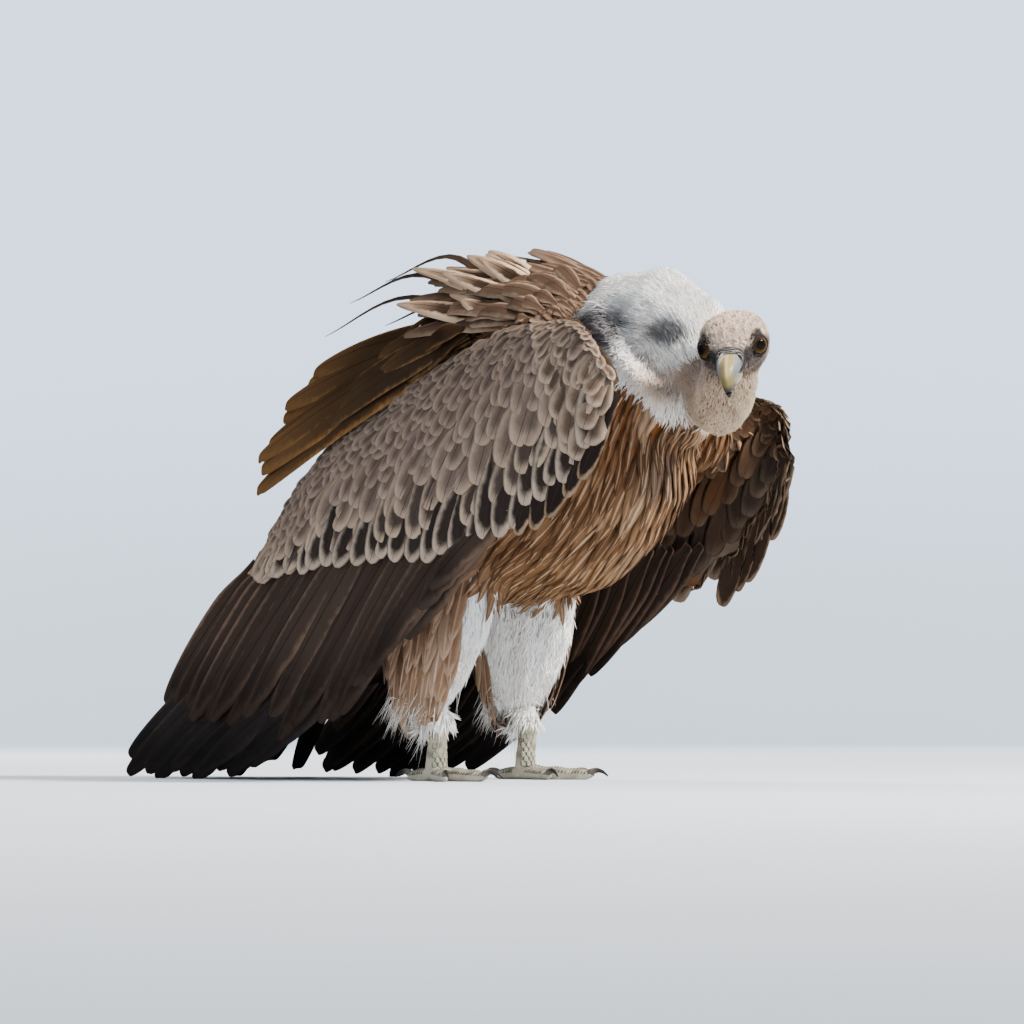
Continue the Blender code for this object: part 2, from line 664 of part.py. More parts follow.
def main():
    """Build the whole bird."""
    clear_scene()
    bird = bpy.data.objects.new("bird", None)
    bpy.context.scene.collection.objects.link(bird)
    trunk = make_trunk(bird)
    neck_base, neck_front = make_neck(bird, trunk)
    head_frame = make_head_frame(bird)
    bpy.context.view_layer.update()
    make_head(head_frame, bird, (neck_front, neck_base))
    ruff = make_ruff(bird, trunk, neck_base, neck_front)
    thighs = [make_leg(bird, side, trunk)[0] for side in (RIGHT, LEFT)]
    blockers = (trunk, ruff, neck_base)
    wings = [make_wing(bird, side, (*blockers, thigh)) for side, thigh in zip((RIGHT, LEFT), thighs)]
    make_back(bird, blockers, wings)
    leaves = [leaf for wing in wings for leaf in wing]
    make_tail(bird, (trunk, *leaves))
    centre_on_base(bird)


main()
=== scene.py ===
import logging
import math
from dataclasses import dataclass, field
from enum import Enum
from functools import cache, cached_property
from typing import Callable, Iterable, Sequence

import bmesh
import bpy
import numpy as np
from mathutils import Matrix, Vector
from mathutils.bvhtree import BVHTree
from mathutils.kdtree import KDTree


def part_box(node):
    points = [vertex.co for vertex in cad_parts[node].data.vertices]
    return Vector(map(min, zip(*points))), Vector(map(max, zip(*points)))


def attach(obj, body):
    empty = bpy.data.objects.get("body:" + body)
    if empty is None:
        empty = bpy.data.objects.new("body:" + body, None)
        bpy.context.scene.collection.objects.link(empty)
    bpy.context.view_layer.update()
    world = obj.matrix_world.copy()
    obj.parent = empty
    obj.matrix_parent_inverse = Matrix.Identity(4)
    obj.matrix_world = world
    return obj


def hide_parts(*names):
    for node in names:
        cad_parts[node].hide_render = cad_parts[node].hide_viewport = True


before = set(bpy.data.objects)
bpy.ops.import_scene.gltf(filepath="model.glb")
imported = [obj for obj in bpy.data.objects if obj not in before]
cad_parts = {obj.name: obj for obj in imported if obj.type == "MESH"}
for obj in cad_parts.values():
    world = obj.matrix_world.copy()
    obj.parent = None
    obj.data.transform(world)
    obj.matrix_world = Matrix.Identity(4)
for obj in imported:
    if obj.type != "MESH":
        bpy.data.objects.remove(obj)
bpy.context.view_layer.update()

logging.basicConfig(level=logging.INFO, format="%(levelname)s %(message)s")
log = logging.getLogger("griffon")

Colour = tuple[float, float, float]
Triple = tuple[float, float, float]
SPOT = np.array((0.0003, -0.0204, 0.0))   # the spot on the floor between the feet
RIGHT, LEFT = 1, -1
SIDE_NAMES = {RIGHT: "right", LEFT: "left"}
PATCH = 0.003                             # size of one tuft's patch on the bake map
PIECE_LIMIT = 190_000                     # triangles in one coat piece


# ---- places and curves --------------------------------------------------------------------------
def row(points: object) -> np.ndarray:
    """Turn (ahead, right, up) places of the bird into the frame's own axes.

    Args:
        points: one place or an array of them, in metres from the spot between the feet.

    Returns:
        The same places as x, y, z.
    """
    places = np.asarray(points, float)
    return np.stack((-places[..., 1], -places[..., 0], places[..., 2]), -1) + SPOT


def lie(directions: object) -> np.ndarray:
    """Turn (ahead, right, up) directions into unit directions of the frame."""
    return unit(row(directions) - SPOT)


def bird(points: np.ndarray) -> np.ndarray:
    """Turn x, y, z places back into (ahead, right, up)."""
    moved = points - SPOT
    return np.stack((-moved[..., 1], -moved[..., 0], moved[..., 2]), -1)


def unit(vectors: np.ndarray) -> np.ndarray:
    """Scale vectors to length one."""
    return vectors / np.maximum(np.linalg.norm(vectors, axis=-1, keepdims=True), 1e-9)


def curve(points: Sequence[Sequence[float]], t: np.ndarray) -> np.ndarray:
    """Read a smooth curve through points.

    Args:
        points: the curve's points, of any width.
        t: where to read, from 0 at the first point to 1 at the last.

    Returns:
        One row for each value of t.
    """
    p = np.asarray(points, float)
    p = np.vstack((2 * p[0] - p[1], p, 2 * p[-1] - p[-2]))
    place = np.clip(np.asarray(t, float), 0, 1) * (len(p) - 3)
    i = np.minimum(place.astype(int), len(p) - 4)
    x = (place - i)[..., None]
    a, b, c, d = p[i], p[i + 1], p[i + 2], p[i + 3]
    bend = (2 * a - 5 * b + 4 * c - d) * x**2 + (3 * b - a - 3 * c + d) * x**3
    return 0.5 * (2 * b + (c - a) * x + bend)


def ease(low: float, high: float, x: np.ndarray) -> np.ndarray:
    """Rise smoothly from 0 at low to 1 at high."""
    t = np.clip((x - low) / (high - low), 0, 1)
    return t * t * (3 - 2 * t)


def mottle(points: np.ndarray, size: float, seed: int) -> np.ndarray:
    """Give soft random patches of about one size.

    Args:
        points: places in metres.
        size: the patches' width in metres.
        seed: picks the pattern.

    Returns:
        A value from about -1 to 1 for each place.
    """
    rng = np.random.default_rng(seed)
    total = np.zeros(points.shape[:-1])
    for _ in range(7):
        wave = unit(rng.normal(size=3)) * rng.uniform(0.7, 1.5) * math.tau / (2 * size)
        total += np.sin(points @ wave + rng.uniform(0, math.tau))
    return total / 3.2


def srgb(*levels: float) -> np.ndarray:
    """Turn a colour of 0 to 255 levels into linear light."""
    c = np.asarray(levels, float) / 255
    return np.where(c <= 0.04045, c / 12.92, ((c + 0.055) / 1.055) ** 2.4)


def blend(a: np.ndarray, b: np.ndarray, share: np.ndarray) -> np.ndarray:
    """Mix two colours, or rows of colours, by a share of b for each row."""
    return a + (b - a) * np.asarray(share)[..., None]


def painted(base: tuple | np.ndarray, *coats: tuple) -> np.ndarray:
    """Lay colours over one another.

    Args:
        base: the first colour in levels of 0 to 255, or rows of linear colour.
        coats: each further colour in levels, with its share for every row.

    Returns:
        Rows of linear colour.
    """
    colour = srgb(*base) if isinstance(base, tuple) else base
    for levels, share in coats:
        colour = blend(colour, srgb(*levels), share)
    return colour


# ---- finishes -----------------------------------------------------------------------------------
class Tree:
    """A node tree that is written as a chain of calls."""

    def __init__(self, nodes: bpy.types.NodeTree) -> None:
        """Keep the tree to add to."""
        self.tree = nodes

    def feed(self, socket: bpy.types.NodeSocket, value: object) -> None:
        """Link a socket to another one or set its value; None leaves it as it is.

        Args:
            socket: the socket to feed.
            value: another socket, a plain value or None.
        """
        if isinstance(value, bpy.types.NodeSocket):
            self.tree.links.new(value, socket)
        elif value is not None:
            socket.default_value = value

    def add(self, kind: str, *inputs: object, **settings: object) -> bpy.types.Node:
        """Add a node.

        Args:
            kind: the node's type without its ShaderNode prefix.
            inputs: a socket, a value or None for each input in order.
            settings: the node's own properties.

        Returns:
            The node.
        """
        node = self.tree.nodes.new(kind if kind.startswith("Node") else "ShaderNode" + kind)
        for name, value in settings.items():
            setattr(node, name, value)
        for socket, value in zip(node.inputs, inputs):
            self.feed(socket, value)
        return node

    def math(self, operation: str, *inputs: object) -> bpy.types.NodeSocket:
        """Add one sum and return its result."""
        return self.add("Math", *inputs, operation=operation).outputs[0]

    def plus(self, a: object, b: object) -> bpy.types.NodeSocket:
        """Add two values."""
        return self.math("ADD", a, b)

    def less(self, a: object, b: object) -> bpy.types.NodeSocket:
        """Take the second value from the first."""
        return self.math("SUBTRACT", a, b)

    def times(self, a: object, b: object) -> bpy.types.NodeSocket:
        """Multiply two values."""
        return self.math("MULTIPLY", a, b)

    def step(self, value: object, low: object, high: object, to: float = 1.0,
             start: float = 0.0) -> bpy.types.NodeSocket:
        """Rise smoothly from start to another level between low and high."""
        node = self.add("MapRange", value, low, high, start, to, interpolation_type="SMOOTHSTEP")
        return node.outputs[0]

    def noise(self, place: object, scale: object, detail: float, *rough: float) -> bpy.types.NodeSocket:
        """Read noise at a place."""
        return self.add("TexNoise", place, None, scale, detail, *rough).outputs["Fac"]

    def read(self, name: str, output: str = "Color") -> bpy.types.NodeSocket:
        """Read one of the mesh's attributes."""
        return self.add("Attribute", attribute_name=name).outputs[output]

    def mix(self, share: object, a: object, b: object, how: str = "MIX") -> bpy.types.NodeSocket:
        """Mix two colours.

        Args:
            share: how much of the second colour to take, from 0 to 1.
            a: the first colour.
            b: the second colour.
            how: the way to blend them.

        Returns:
            The mixed colour.
        """
        node = self.tree.nodes.new("ShaderNodeMix")
        node.data_type, node.blend_type, node.clamp_result = "RGBA", how, False
        for k, value in ((0, share), (6, a), (7, b)):
            self.feed(node.inputs[k], value)
        return node.outputs[2]

    def shade(self, colour: object, level: object) -> bpy.types.NodeSocket:
        """Darken or lighten a colour."""
        return self.mix(1.0, colour, self.add("CombineXYZ", level, level, level).outputs[0], "MULTIPLY")


def new_group(name: str, inputs: dict[str, str], outputs: dict[str, str]) -> tuple:
    """Start a shader group.

    Args:
        name: the group's name.
        inputs: each input's name and socket kind.
        outputs: each output's name and socket kind.

    Returns:
        The group, its tree, its input sockets and its output node's sockets.
    """
    group = bpy.data.node_groups.new(name, "ShaderNodeTree")
    for way, sockets in (("INPUT", inputs), ("OUTPUT", outputs)):
        for label, kind in sockets.items():
            group.interface.new_socket(label, in_out=way, socket_type="NodeSocket" + kind)
    tree = Tree(group)
    return group, tree, tree.add("NodeGroupInput").outputs, tree.add("NodeGroupOutput").inputs


@cache
def vane_group() -> bpy.types.NodeTree:
    """Build the group that draws a feather: a shaft, a core, a rim and its fine barbs."""
    group, t, given, made = new_group(
        "vane_marks",
        {"Vane": "Vector", "Place": "Vector", "Core": "Color", "Rim": "Color", "Shaft": "Color",
         "Marks": "Vector", "Barbs": "Float", "Contrast": "Float"},
        {"Color": "Color", "Height": "Float"},
    )
    vane = t.add("SeparateXYZ", given["Vane"]).outputs
    start, soft, wide = t.add("SeparateXYZ", given["Marks"]).outputs
    across = t.math("ABSOLUTE", t.less(t.times(vane[0], 2.0), 1.0))
    tip = t.math("MAXIMUM", 0.0, t.math("DIVIDE", t.less(vane[1], 0.74), 0.26))
    reach = t.math("SQRT", t.plus(t.math("POWER", across, 2.0), t.math("POWER", tip, 2.0)))
    ragged = t.times(t.less(t.noise(given["Place"], 120.0, 3.0), 0.5), 0.45)
    rim = t.step(t.plus(reach, ragged), t.less(start, soft), t.plus(start, soft))
    streak = t.step(across, t.times(wide, 0.4), wide, 0.0, 1.0)
    along = t.plus(vane[1], t.times(across, -0.16))
    barbs = t.math("SINE", t.times(along, given["Barbs"]))
    stretch = t.add("CombineXYZ", t.times(across, 2.0), t.times(along, 46.0), 0.0).outputs[0]
    drawn = t.add("VectorMath", stretch, given["Place"]).outputs[0]
    grain = t.less(t.noise(drawn, 1.0, 4.0, 0.7), 0.5)
    colour = t.mix(streak, t.mix(rim, given["Core"], given["Rim"]), given["Shaft"])
    shade = t.plus(t.plus(1.0, t.times(grain, given["Contrast"])), t.times(barbs, 0.035))
    t.feed(made["Color"], t.shade(colour, shade))
    height = t.plus(t.times(barbs, 0.25), grain)
    t.feed(made["Height"], t.plus(height, t.times(streak, 0.8)))
    return group


@cache
def relief_group() -> bpy.types.NodeTree:
    """Build the group for skin: cells, wrinkles and a little mottling of a colour."""
    group, t, given, made = new_group(
        "relief",
        {"Place": "Vector", "Color": "Color", "Cells": "Float", "Wrinkles": "Float", "Mottle": "Float"},
        {"Color": "Color", "Height": "Float", "Mask": "Float"},
    )
    place = given["Place"]
    cells = t.add("TexVoronoi", place, None, given["Cells"], feature="DISTANCE_TO_EDGE")
    edge = t.step(cells.outputs["Distance"], 0.0, 0.16)
    folds = t.noise(place, given["Wrinkles"], 5.0, 0.62)
    spots = t.times(t.less(t.noise(place, 85.0, 3.0), 0.5), given["Mottle"])
    shade = t.plus(t.plus(t.times(edge, 0.16), 0.88), spots)
    shade = t.plus(shade, t.times(t.less(folds, 0.5), 0.3))
    t.feed(made["Color"], t.shade(given["Color"], shade))
    t.feed(made["Height"], t.plus(t.times(edge, 0.5), folds))
    t.feed(made["Mask"], edge)
    return group


def start_material(name: str, **inputs: float) -> tuple:
    """Start a material.

    Args:
        name: the material's name.
        inputs: values of its shader's inputs, with _ for the spaces in their names.

    Returns:
        The material, its tree, its shader's inputs and its object coordinates.
    """
    material = bpy.data.materials.new(name)
    material.use_nodes = True
    tree = Tree(material.node_tree)
    shader = material.node_tree.nodes["Principled BSDF"].inputs
    for label, value in inputs.items():
        shader[label.replace("_", " ")].default_value = value
    return material, tree, shader, tree.add("TexCoord").outputs["Object"]


def add_bump(tree: Tree, shader: object, height: object, depth: float) -> None:
    """Give a shader a bump of some depth in metres.

    Args:
        tree: the material's tree.
        shader: its shader's inputs.
        height: the height to draw.
        depth: the depth in metres.
    """
    bump = tree.add("Bump", 1.0, depth)
    tree.feed(bump.inputs["Height"], height)
    tree.feed(shader["Normal"], bump.outputs["Normal"])


@dataclass(frozen=True)
class FeatherFinish:
    """Feather vanes: barbs follow the vane, and each feather carries its own colours."""

    name: str
    barbs: float = 420.0
    contrast: float = 0.5
    roughness: float = 0.72
    sheen: float = 0.01
    depth: float = 0.0004

    def make(self) -> bpy.types.Material:
        """Build the material."""
        material, t, shader, place = start_material(
            self.name, Roughness=self.roughness, Sheen_Weight=self.sheen, Sheen_Roughness=0.4,
            Specular_IOR_Level=0.0)
        group = t.add("Group", node_tree=vane_group())
        sources = {label: t.read(label) for label in ("Core", "Rim", "Shaft")}
        sources |= {"Vane": t.add("UVMap", uv_map="Vane").outputs[0], "Place": place,
                    "Marks": t.read("Marks", "Vector"), "Barbs": self.barbs, "Contrast": self.contrast}
        for label, source in sources.items():
            t.feed(group.inputs[label], source)
        t.feed(shader["Base Color"], group.outputs["Color"])
        add_bump(t, shader, group.outputs["Height"], self.depth)
        return material


@dataclass(frozen=True)
class DownFinish:
    """Loose down: each lock keeps its colour and pales to its tip."""

    name: str
    tip: float = 1.12
    root: float = 0.72
    roughness: float = 0.85
    sheen: float = 0.25

    def make(self) -> bpy.types.Material:
        """Build the material."""
        material, t, shader, place = start_material(
            self.name, Roughness=self.roughness, Sheen_Weight=self.sheen, Sheen_Roughness=0.55,
            Specular_IOR_Level=0.15)
        vane = t.add("SeparateXYZ", t.add("UVMap", uv_map="Vane").outputs[0])
        level = t.step(vane.outputs[1], 0.0, 0.75, self.tip, self.root)
        noise = t.noise(place, 240.0, 3.0)
        level = t.plus(level, t.times(t.less(noise, 0.5), 0.25))
        t.feed(shader["Base Color"], t.shade(t.read("Core"), level))
        add_bump(t, shader, noise, 0.0003)
        return material


@dataclass(frozen=True)
class SkinFinish:
    """Bare or scaled skin that takes its tone from the mesh."""

    name: str
    cells: float = 900.0
    wrinkles: float = 420.0
    mottling: float = 0.5
    roughness: float = 0.55
    depth: float = 0.0006

    def make(self) -> bpy.types.Material:
        """Build the material."""
        material, t, shader, place = start_material(self.name, Roughness=self.roughness,
                                                    Specular_IOR_Level=0.12)
        group = t.add("Group", node_tree=relief_group())
        for label, source in (("Place", place), ("Color", t.read("Tone")), ("Cells", self.cells),
                              ("Wrinkles", self.wrinkles), ("Mottle", self.mottling)):
            t.feed(group.inputs[label], source)
        t.feed(shader["Base Color"], group.outputs["Color"])
        rough = t.step(group.outputs["Mask"], 0.0, 1.0, self.roughness, self.roughness + 0.2)
        t.feed(shader["Roughness"], rough)
        add_bump(t, shader, group.outputs["Height"], self.depth)
        return material


# ---- modelling ----------------------------------------------------------------------------------
def select_only(*things: bpy.types.Object) -> None:
    """Leave only these objects selected, with the first one active."""
    if bpy.context.object and bpy.context.object.mode != "OBJECT":
        bpy.ops.object.mode_set(mode="OBJECT")
    bpy.ops.object.select_all(action="DESELECT")
    for thing in things:
        thing.select_set(True)
    if things:
        bpy.context.view_layer.objects.active = things[0]


def read(items: object, attribute: str, width: int = 1, kind: type = np.float32) -> np.ndarray:
    """Read an attribute of a mesh's points, faces or corners.

    Args:
        items: the points, faces or corners.
        attribute: the attribute's name.
        width: how many numbers each holds.
        kind: the numbers' kind.

    Returns:
        One number, or one row of them, for each item.
    """
    flat = np.empty(len(items) * width, kind)
    items.foreach_get(attribute, flat)
    return flat.reshape(-1, width) if width > 1 else flat


def points_of(mesh: bpy.types.Mesh) -> np.ndarray:
    """Read a mesh's points as rows of x, y, z."""
    return read(mesh.vertices, "co", 3).astype(float)


def normals_of(mesh: bpy.types.Mesh) -> np.ndarray:
    """Read a mesh's point normals."""
    return read(mesh.vertex_normals, "vector", 3).astype(float)


def set_points(mesh: bpy.types.Mesh, points: np.ndarray) -> None:
    """Write a mesh's points."""
    mesh.vertices.foreach_set("co", points.astype(np.float32).ravel())
    mesh.update()


def set_colours(mesh: bpy.types.Mesh, name: str, colours: np.ndarray, kind: str = "BYTE_COLOR") -> None:
    """Store a colour for each point of a mesh.

    Args:
        mesh: the mesh to write on.
        name: the layer's name.
        colours: rows of linear colour, one for each point.
        kind: how the layer stores them.
    """
    rgba = np.concatenate((colours, np.ones((len(colours), 1))), 1)
    layer = mesh.color_attributes.new(name, kind, "POINT")
    layer.data.foreach_set("color", rgba.astype(np.float32).ravel())


def face_out(inside: bool = False) -> None:
    """Point every face of the shape that is being edited outwards, or inwards, and leave edit mode.

    Args:
        inside: point them inwards.
    """
    bpy.ops.mesh.select_all(action="SELECT")
    bpy.ops.mesh.normals_make_consistent(inside=inside)
    bpy.ops.object.mode_set(mode="OBJECT")


def model_tube(name: str, sides: int, stations: Sequence[float]) -> bpy.types.Object:
    """Model a closed tube along +Y by extruding a filled circle.

    Args:
        name: the object's name.
        sides: points round the tube.
        stations: where its rings stand, in rising order.

    Returns:
        The tube, of radius one, with its first ring's points first.
    """
    select_only()
    bpy.ops.mesh.primitive_circle_add(vertices=sides, radius=1.0, fill_type="NGON",
                                      location=(0, stations[0], 0), rotation=(math.pi / 2, 0, 0))
    tube = bpy.context.object
    tube.name = name
    bpy.ops.object.mode_set(mode="EDIT")
    bpy.ops.mesh.select_all(action="SELECT")
    for near, far in zip(stations, stations[1:]):
        bpy.ops.mesh.extrude_region_move(TRANSFORM_OT_translate={"value": (0, far - near, 0)})
    face_out()
    bpy.ops.object.transform_apply(location=True, rotation=True, scale=True)
    return tube


@dataclass
class Master:
    """One modelled vane or lock, read once and then copied many times.

    Its points are kept as a place across from -1 to 1, a station along and a height from -1 to 1.
    """

    sides: int
    t: np.ndarray                 # its stations, as shares of the length
    across: np.ndarray = field(init=False)
    station: np.ndarray = field(init=False)
    height: np.ndarray = field(init=False)
    starts: np.ndarray = field(init=False)
    corners: np.ndarray = field(init=False)
    triangles: int = field(init=False)

    def __post_init__(self) -> None:
        """Model the tube and read it."""
        tube = model_tube("master", self.sides, self.t)
        points = points_of(tube.data)
        self.across, self.height = points[:, 0], points[:, 2]
        self.station = np.abs(points[:, 1:2] - self.t).argmin(1)
        self.corners = read(tube.data.loops, "vertex_index", 1, np.int32)
        totals = np.array([len(p.vertices) for p in tube.data.polygons])
        self.starts = np.concatenate(([0], np.cumsum(totals)[:-1]))
        self.triangles = int((totals - 2).sum())
        bpy.data.objects.remove(tube)


@dataclass
class Plumage:
    """A joined piece, or a few, of many vanes copied along their own spines."""

    name: str
    master: Master
    finish: FeatherFinish | DownFinish
    slot: str
    hides: tuple[str, ...] = ()
    batches: list[dict[str, np.ndarray]] = field(default_factory=list)

    def lay(self, spines: np.ndarray, normals: np.ndarray, left: np.ndarray, right: np.ndarray,
            thick: np.ndarray, arch: float | np.ndarray, core: np.ndarray, rim: np.ndarray | None = None,
            shaft: np.ndarray | None = None, marks: Triple = (2.0, 0.1, 0.05),
            places: np.ndarray | None = None) -> None:
        """Copy the master along each spine.

        Args:
            spines: (feathers, stations, 3) points from root to tip.
            normals: (feathers, stations, 3) directions away from the body.
            left: (feathers, stations) half widths on the left, or one row for all.
            right: the same on the right.
            thick: the same for half the thickness.
            arch: how far the edges droop, as a share of the half width.
            core: (feathers, 3) or (feathers, stations, 3) colour of the vane's middle.
            rim: the same for its rim; the core's where left out.
            shaft: the same for its shaft; the core's where left out.
            marks: where the rim starts, how soft it is and how wide the shaft's streak is.
            places: (feathers, 2) where each root lies on the unwrapped skin.
        """
        m = self.master
        feathers, stations = spines.shape[:2]
        left, right, thick = (np.broadcast_to(a, (feathers, stations)) for a in (left, right, thick))
        along = unit(np.gradient(spines, axis=1))
        up = unit(normals - along * (normals * along).sum(-1, keepdims=True))
        side = np.cross(along, up)
        s, q = m.station, m.across[None, :, None]
        width = np.where(m.across < 0, left[:, s], right[:, s])[..., None]
        body = m.height[None, :, None] * thick[:, s, None] - arch * width * q * q
        points = spines[:, s] + side[:, s] * q * width + up[:, s] * body
        points[..., 2] = np.maximum(points[..., 2], 0.0005 + 0.0004 * m.height)

        def spread(colour: np.ndarray | None) -> np.ndarray:
            """Give every point of every feather its colour."""
            colour = np.asarray(core if colour is None else colour, float)
            if colour.ndim == 1:
                colour = np.broadcast_to(colour, (feathers, 3))
            if colour.ndim == 2:
                colour = np.broadcast_to(colour[:, None], (feathers, stations, 3))
            return np.clip(colour[:, s], 0, 1)

        if places is None:
            places = bird(spines[:, 0])[:, [0, 2]] * 0.8 + 0.5
        vane = np.broadcast_to(np.stack((m.across * 0.5 + 0.5, m.t[s]), -1), (feathers, len(s), 2))
        marks = np.broadcast_to(np.asarray(marks, float), (feathers, 3))
        self.batches.append({
            "points": points, "vane": vane, "bake": places[:, None] + (vane - 0.5) * PATCH,
            "Core": spread(core), "Rim": spread(rim), "Shaft": spread(shaft),
            "Marks": np.broadcast_to(marks[:, None], points.shape),
        })

    def join(self) -> None:
        """Make the joined pieces, each under the limit on triangles."""
        whole = {k: np.concatenate([b[k] for b in self.batches]) for k in self.batches[0]}
        number = len(whole["points"])
        total = number * self.master.triangles
        pieces = math.ceil(total / PIECE_LIMIT)
        material = self.finish.make()
        for k, chosen in enumerate(np.array_split(np.arange(number), pieces)):
            name = self.name if pieces == 1 else f"{self.name}_{k + 1}"
            piece = self.make_piece(name, {key: value[chosen] for key, value in whole.items()})
            piece.data.materials.append(material)
            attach(piece, "root")
            if self.hides and k == 0:
                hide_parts(*self.hides)
        log.info("%s: %d vanes, %d triangles in %d", self.name, number, total, pieces)

    def make_piece(self, name: str, data: dict[str, np.ndarray]) -> bpy.types.Object:
        """Make one mesh object from laid vanes.

        Args:
            name: the object's name.
            data: the arrays that lay() keeps.

        Returns:
            The new object.
        """
        m, copies = self.master, len(data["points"])
        size = len(m.across)
        mesh = bpy.data.meshes.new(name)
        mesh.vertices.add(copies * size)
        mesh.vertices.foreach_set("co", data["points"].astype(np.float32).ravel())
        corners = (m.corners[None] + (np.arange(copies) * size)[:, None]).ravel()
        starts = (m.starts[None] + (np.arange(copies) * len(m.corners))[:, None]).ravel()
        mesh.loops.add(len(corners))
        mesh.loops.foreach_set("vertex_index", corners.astype(np.int32))
        mesh.polygons.add(len(starts))
        mesh.polygons.foreach_set("loop_start", starts.astype(np.int32))
        mesh.update(calc_edges=True)
        for layer, key in (("Vane", "vane"), ("OFBake", "bake")):
            made = mesh.uv_layers.new(name=layer)
            flat = data[key].reshape(-1, 2)[corners]
            made.uv.foreach_set("vector", flat.astype(np.float32).ravel())
        for key in ("Core", "Rim", "Shaft"):
            set_colours(mesh, key, data[key].reshape(-1, 3))
        layer = mesh.attributes.new("Marks", "FLOAT_VECTOR", "POINT")
        layer.data.foreach_set("vector", data["Marks"].astype(np.float32).ravel())
        mesh.shade_smooth()
        thing = bpy.data.objects.new(name, mesh)
        bpy.context.scene.collection.objects.link(thing)
        return thing


def vane_width(t: np.ndarray, base: float, full: float, tip: float, point: float) -> np.ndarray:
    """Give a vane's half width along its length as a share of the widest.

    Args:
        t: shares of the length.
        base: the width at the root.
        full: where the vane is widest.
        tip: the width left at the very tip.
        point: 0.5 for a round tip, 1 and more for a pointed one.

    Returns:
        One value for each share.
    """
    rise = base + (1 - base) * ease(0.0, full, t)
    fall = np.clip((t - full) / (1 - full), 0, 1)
    return rise * (tip + (1 - tip) * (1 - fall**2.2) ** point)


def sweep(roots: np.ndarray, along: np.ndarray, up: np.ndarray, length: np.ndarray, t: np.ndarray,
          lift: np.ndarray, curl: np.ndarray, sway: np.ndarray) -> tuple[np.ndarray, np.ndarray]:
    """Bend free spines in the air.

    Args:
        roots: (feathers, 3) where they start.
        along: unit directions at the root.
        up: unit directions away from the body.
        length: each spine's length.
        t: shares of the length.
        lift: angle away from the body at the root.
        curl: how much of that angle is turned back by the tip.
        sway: angle turned sideways by the tip.

    Returns:
        Spines and their normals.
    """
    side = np.cross(along, up)
    middle = (t[1:] + t[:-1]) / 2

    def heading(share: np.ndarray) -> tuple[np.ndarray, np.ndarray]:
        """Give the direction and the normal at each share of the length."""
        a = (lift[:, None] - curl[:, None] * share)[..., None]
        b = (sway[:, None] * share)[..., None]
        flat = along[:, None] * np.cos(b) + side[:, None] * np.sin(b)
        return flat * np.cos(a) + up[:, None] * np.sin(a), up[:, None] * np.cos(a) - flat * np.sin(a)

    steps = heading(middle)[0] * (length[:, None] * np.diff(t))[..., None]
    spines = np.concatenate((roots[:, None], roots[:, None] + np.cumsum(steps, 1)), 1)
    return spines, heading(t)[1]


def loft(name: str, centres: np.ndarray, widths: np.ndarray, above: np.ndarray, below: np.ndarray,
         across: np.ndarray, up: np.ndarray, sides: int, power: float = 2.0) -> bpy.types.Object:
    """Model a tube and draw its rings out to the sections of a limb, toe, claw or bill.

    Args:
        name: the object's name.
        centres: (rings, 3) points that the rings stand round.
        widths: half width of each ring.
        above: depth of each ring above its centre.
        below: depth of each ring below it.
        across: unit direction in which the width is measured.
        up: unit direction that counts as above.
        sides: points round each ring.
        power: 2 for ovals, more for squarer sections.

    Returns:
        The closed shape.
    """
    rings = len(centres)
    thing = model_tube(name, sides, [float(k) for k in range(rings)])
    points = points_of(thing.data)
    ring = np.rint(points[:, 1]).astype(int)
    x, z = points[:, 0], points[:, 2]
    along = unit(np.gradient(centres, axis=0))
    side = unit(across - along * (along @ across)[:, None])
    rise = np.cross(along, side)
    rise *= np.sign(rise @ up)[:, None]
    flat = np.sign(x) * np.abs(x) ** (2 / power) * widths[ring]
    tall = np.sign(z) * np.abs(z) ** (2 / power) * np.where(z > 0, above[ring], below[ring])
    set_points(thing.data, centres[ring] + side[ring] * flat[:, None] + rise[ring] * tall[:, None])
    select_only(thing)
    bpy.ops.object.mode_set(mode="EDIT")
    face_out()
    return thing


def merged_copy(node: str, grow: float = 0.0) -> bpy.types.Object:
    """Copy a CAD node, join its loose triangles and swell it a little.

    Args:
        node: the CAD node's name.
        grow: how far every point moves outwards.

    Returns:
        The new object.
    """
    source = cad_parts[node]
    mesh = source.data.copy()
    shape = bmesh.new()
    shape.from_mesh(mesh)
    bmesh.ops.remove_doubles(shape, verts=shape.verts, dist=1e-5)
    shape.normal_update()
    for vertex in shape.verts:
        vertex.co += vertex.normal * grow
    shape.to_mesh(mesh)
    shape.free()
    mesh.materials.clear()
    thing = bpy.data.objects.new("copy_" + node, mesh)
    bpy.context.scene.collection.objects.link(thing)
    return thing


def remesh(things: Sequence[bpy.types.Object], voxel: float, rounds: int) -> bpy.types.Object:
    """Join closed shapes into one even skin.

    Args:
        things: overlapping closed objects, which are used up.
        voxel: the size of the new faces.
        rounds: how often the skin is smoothed.

    Returns:
        The one object.
    """
    select_only(*things)
    bpy.ops.object.join()
    thing = bpy.context.object
    cells = thing.modifiers.new("cells", "REMESH")
    cells.mode = "VOXEL"
    cells.voxel_size = voxel
    bpy.ops.object.modifier_apply(modifier=cells.name)
    smooth = thing.modifiers.new("smooth", "SMOOTH")
    smooth.factor, smooth.iterations = 0.5, rounds
    bpy.ops.object.modifier_apply(modifier=smooth.name)
    keep_largest(thing.data)
    return thing


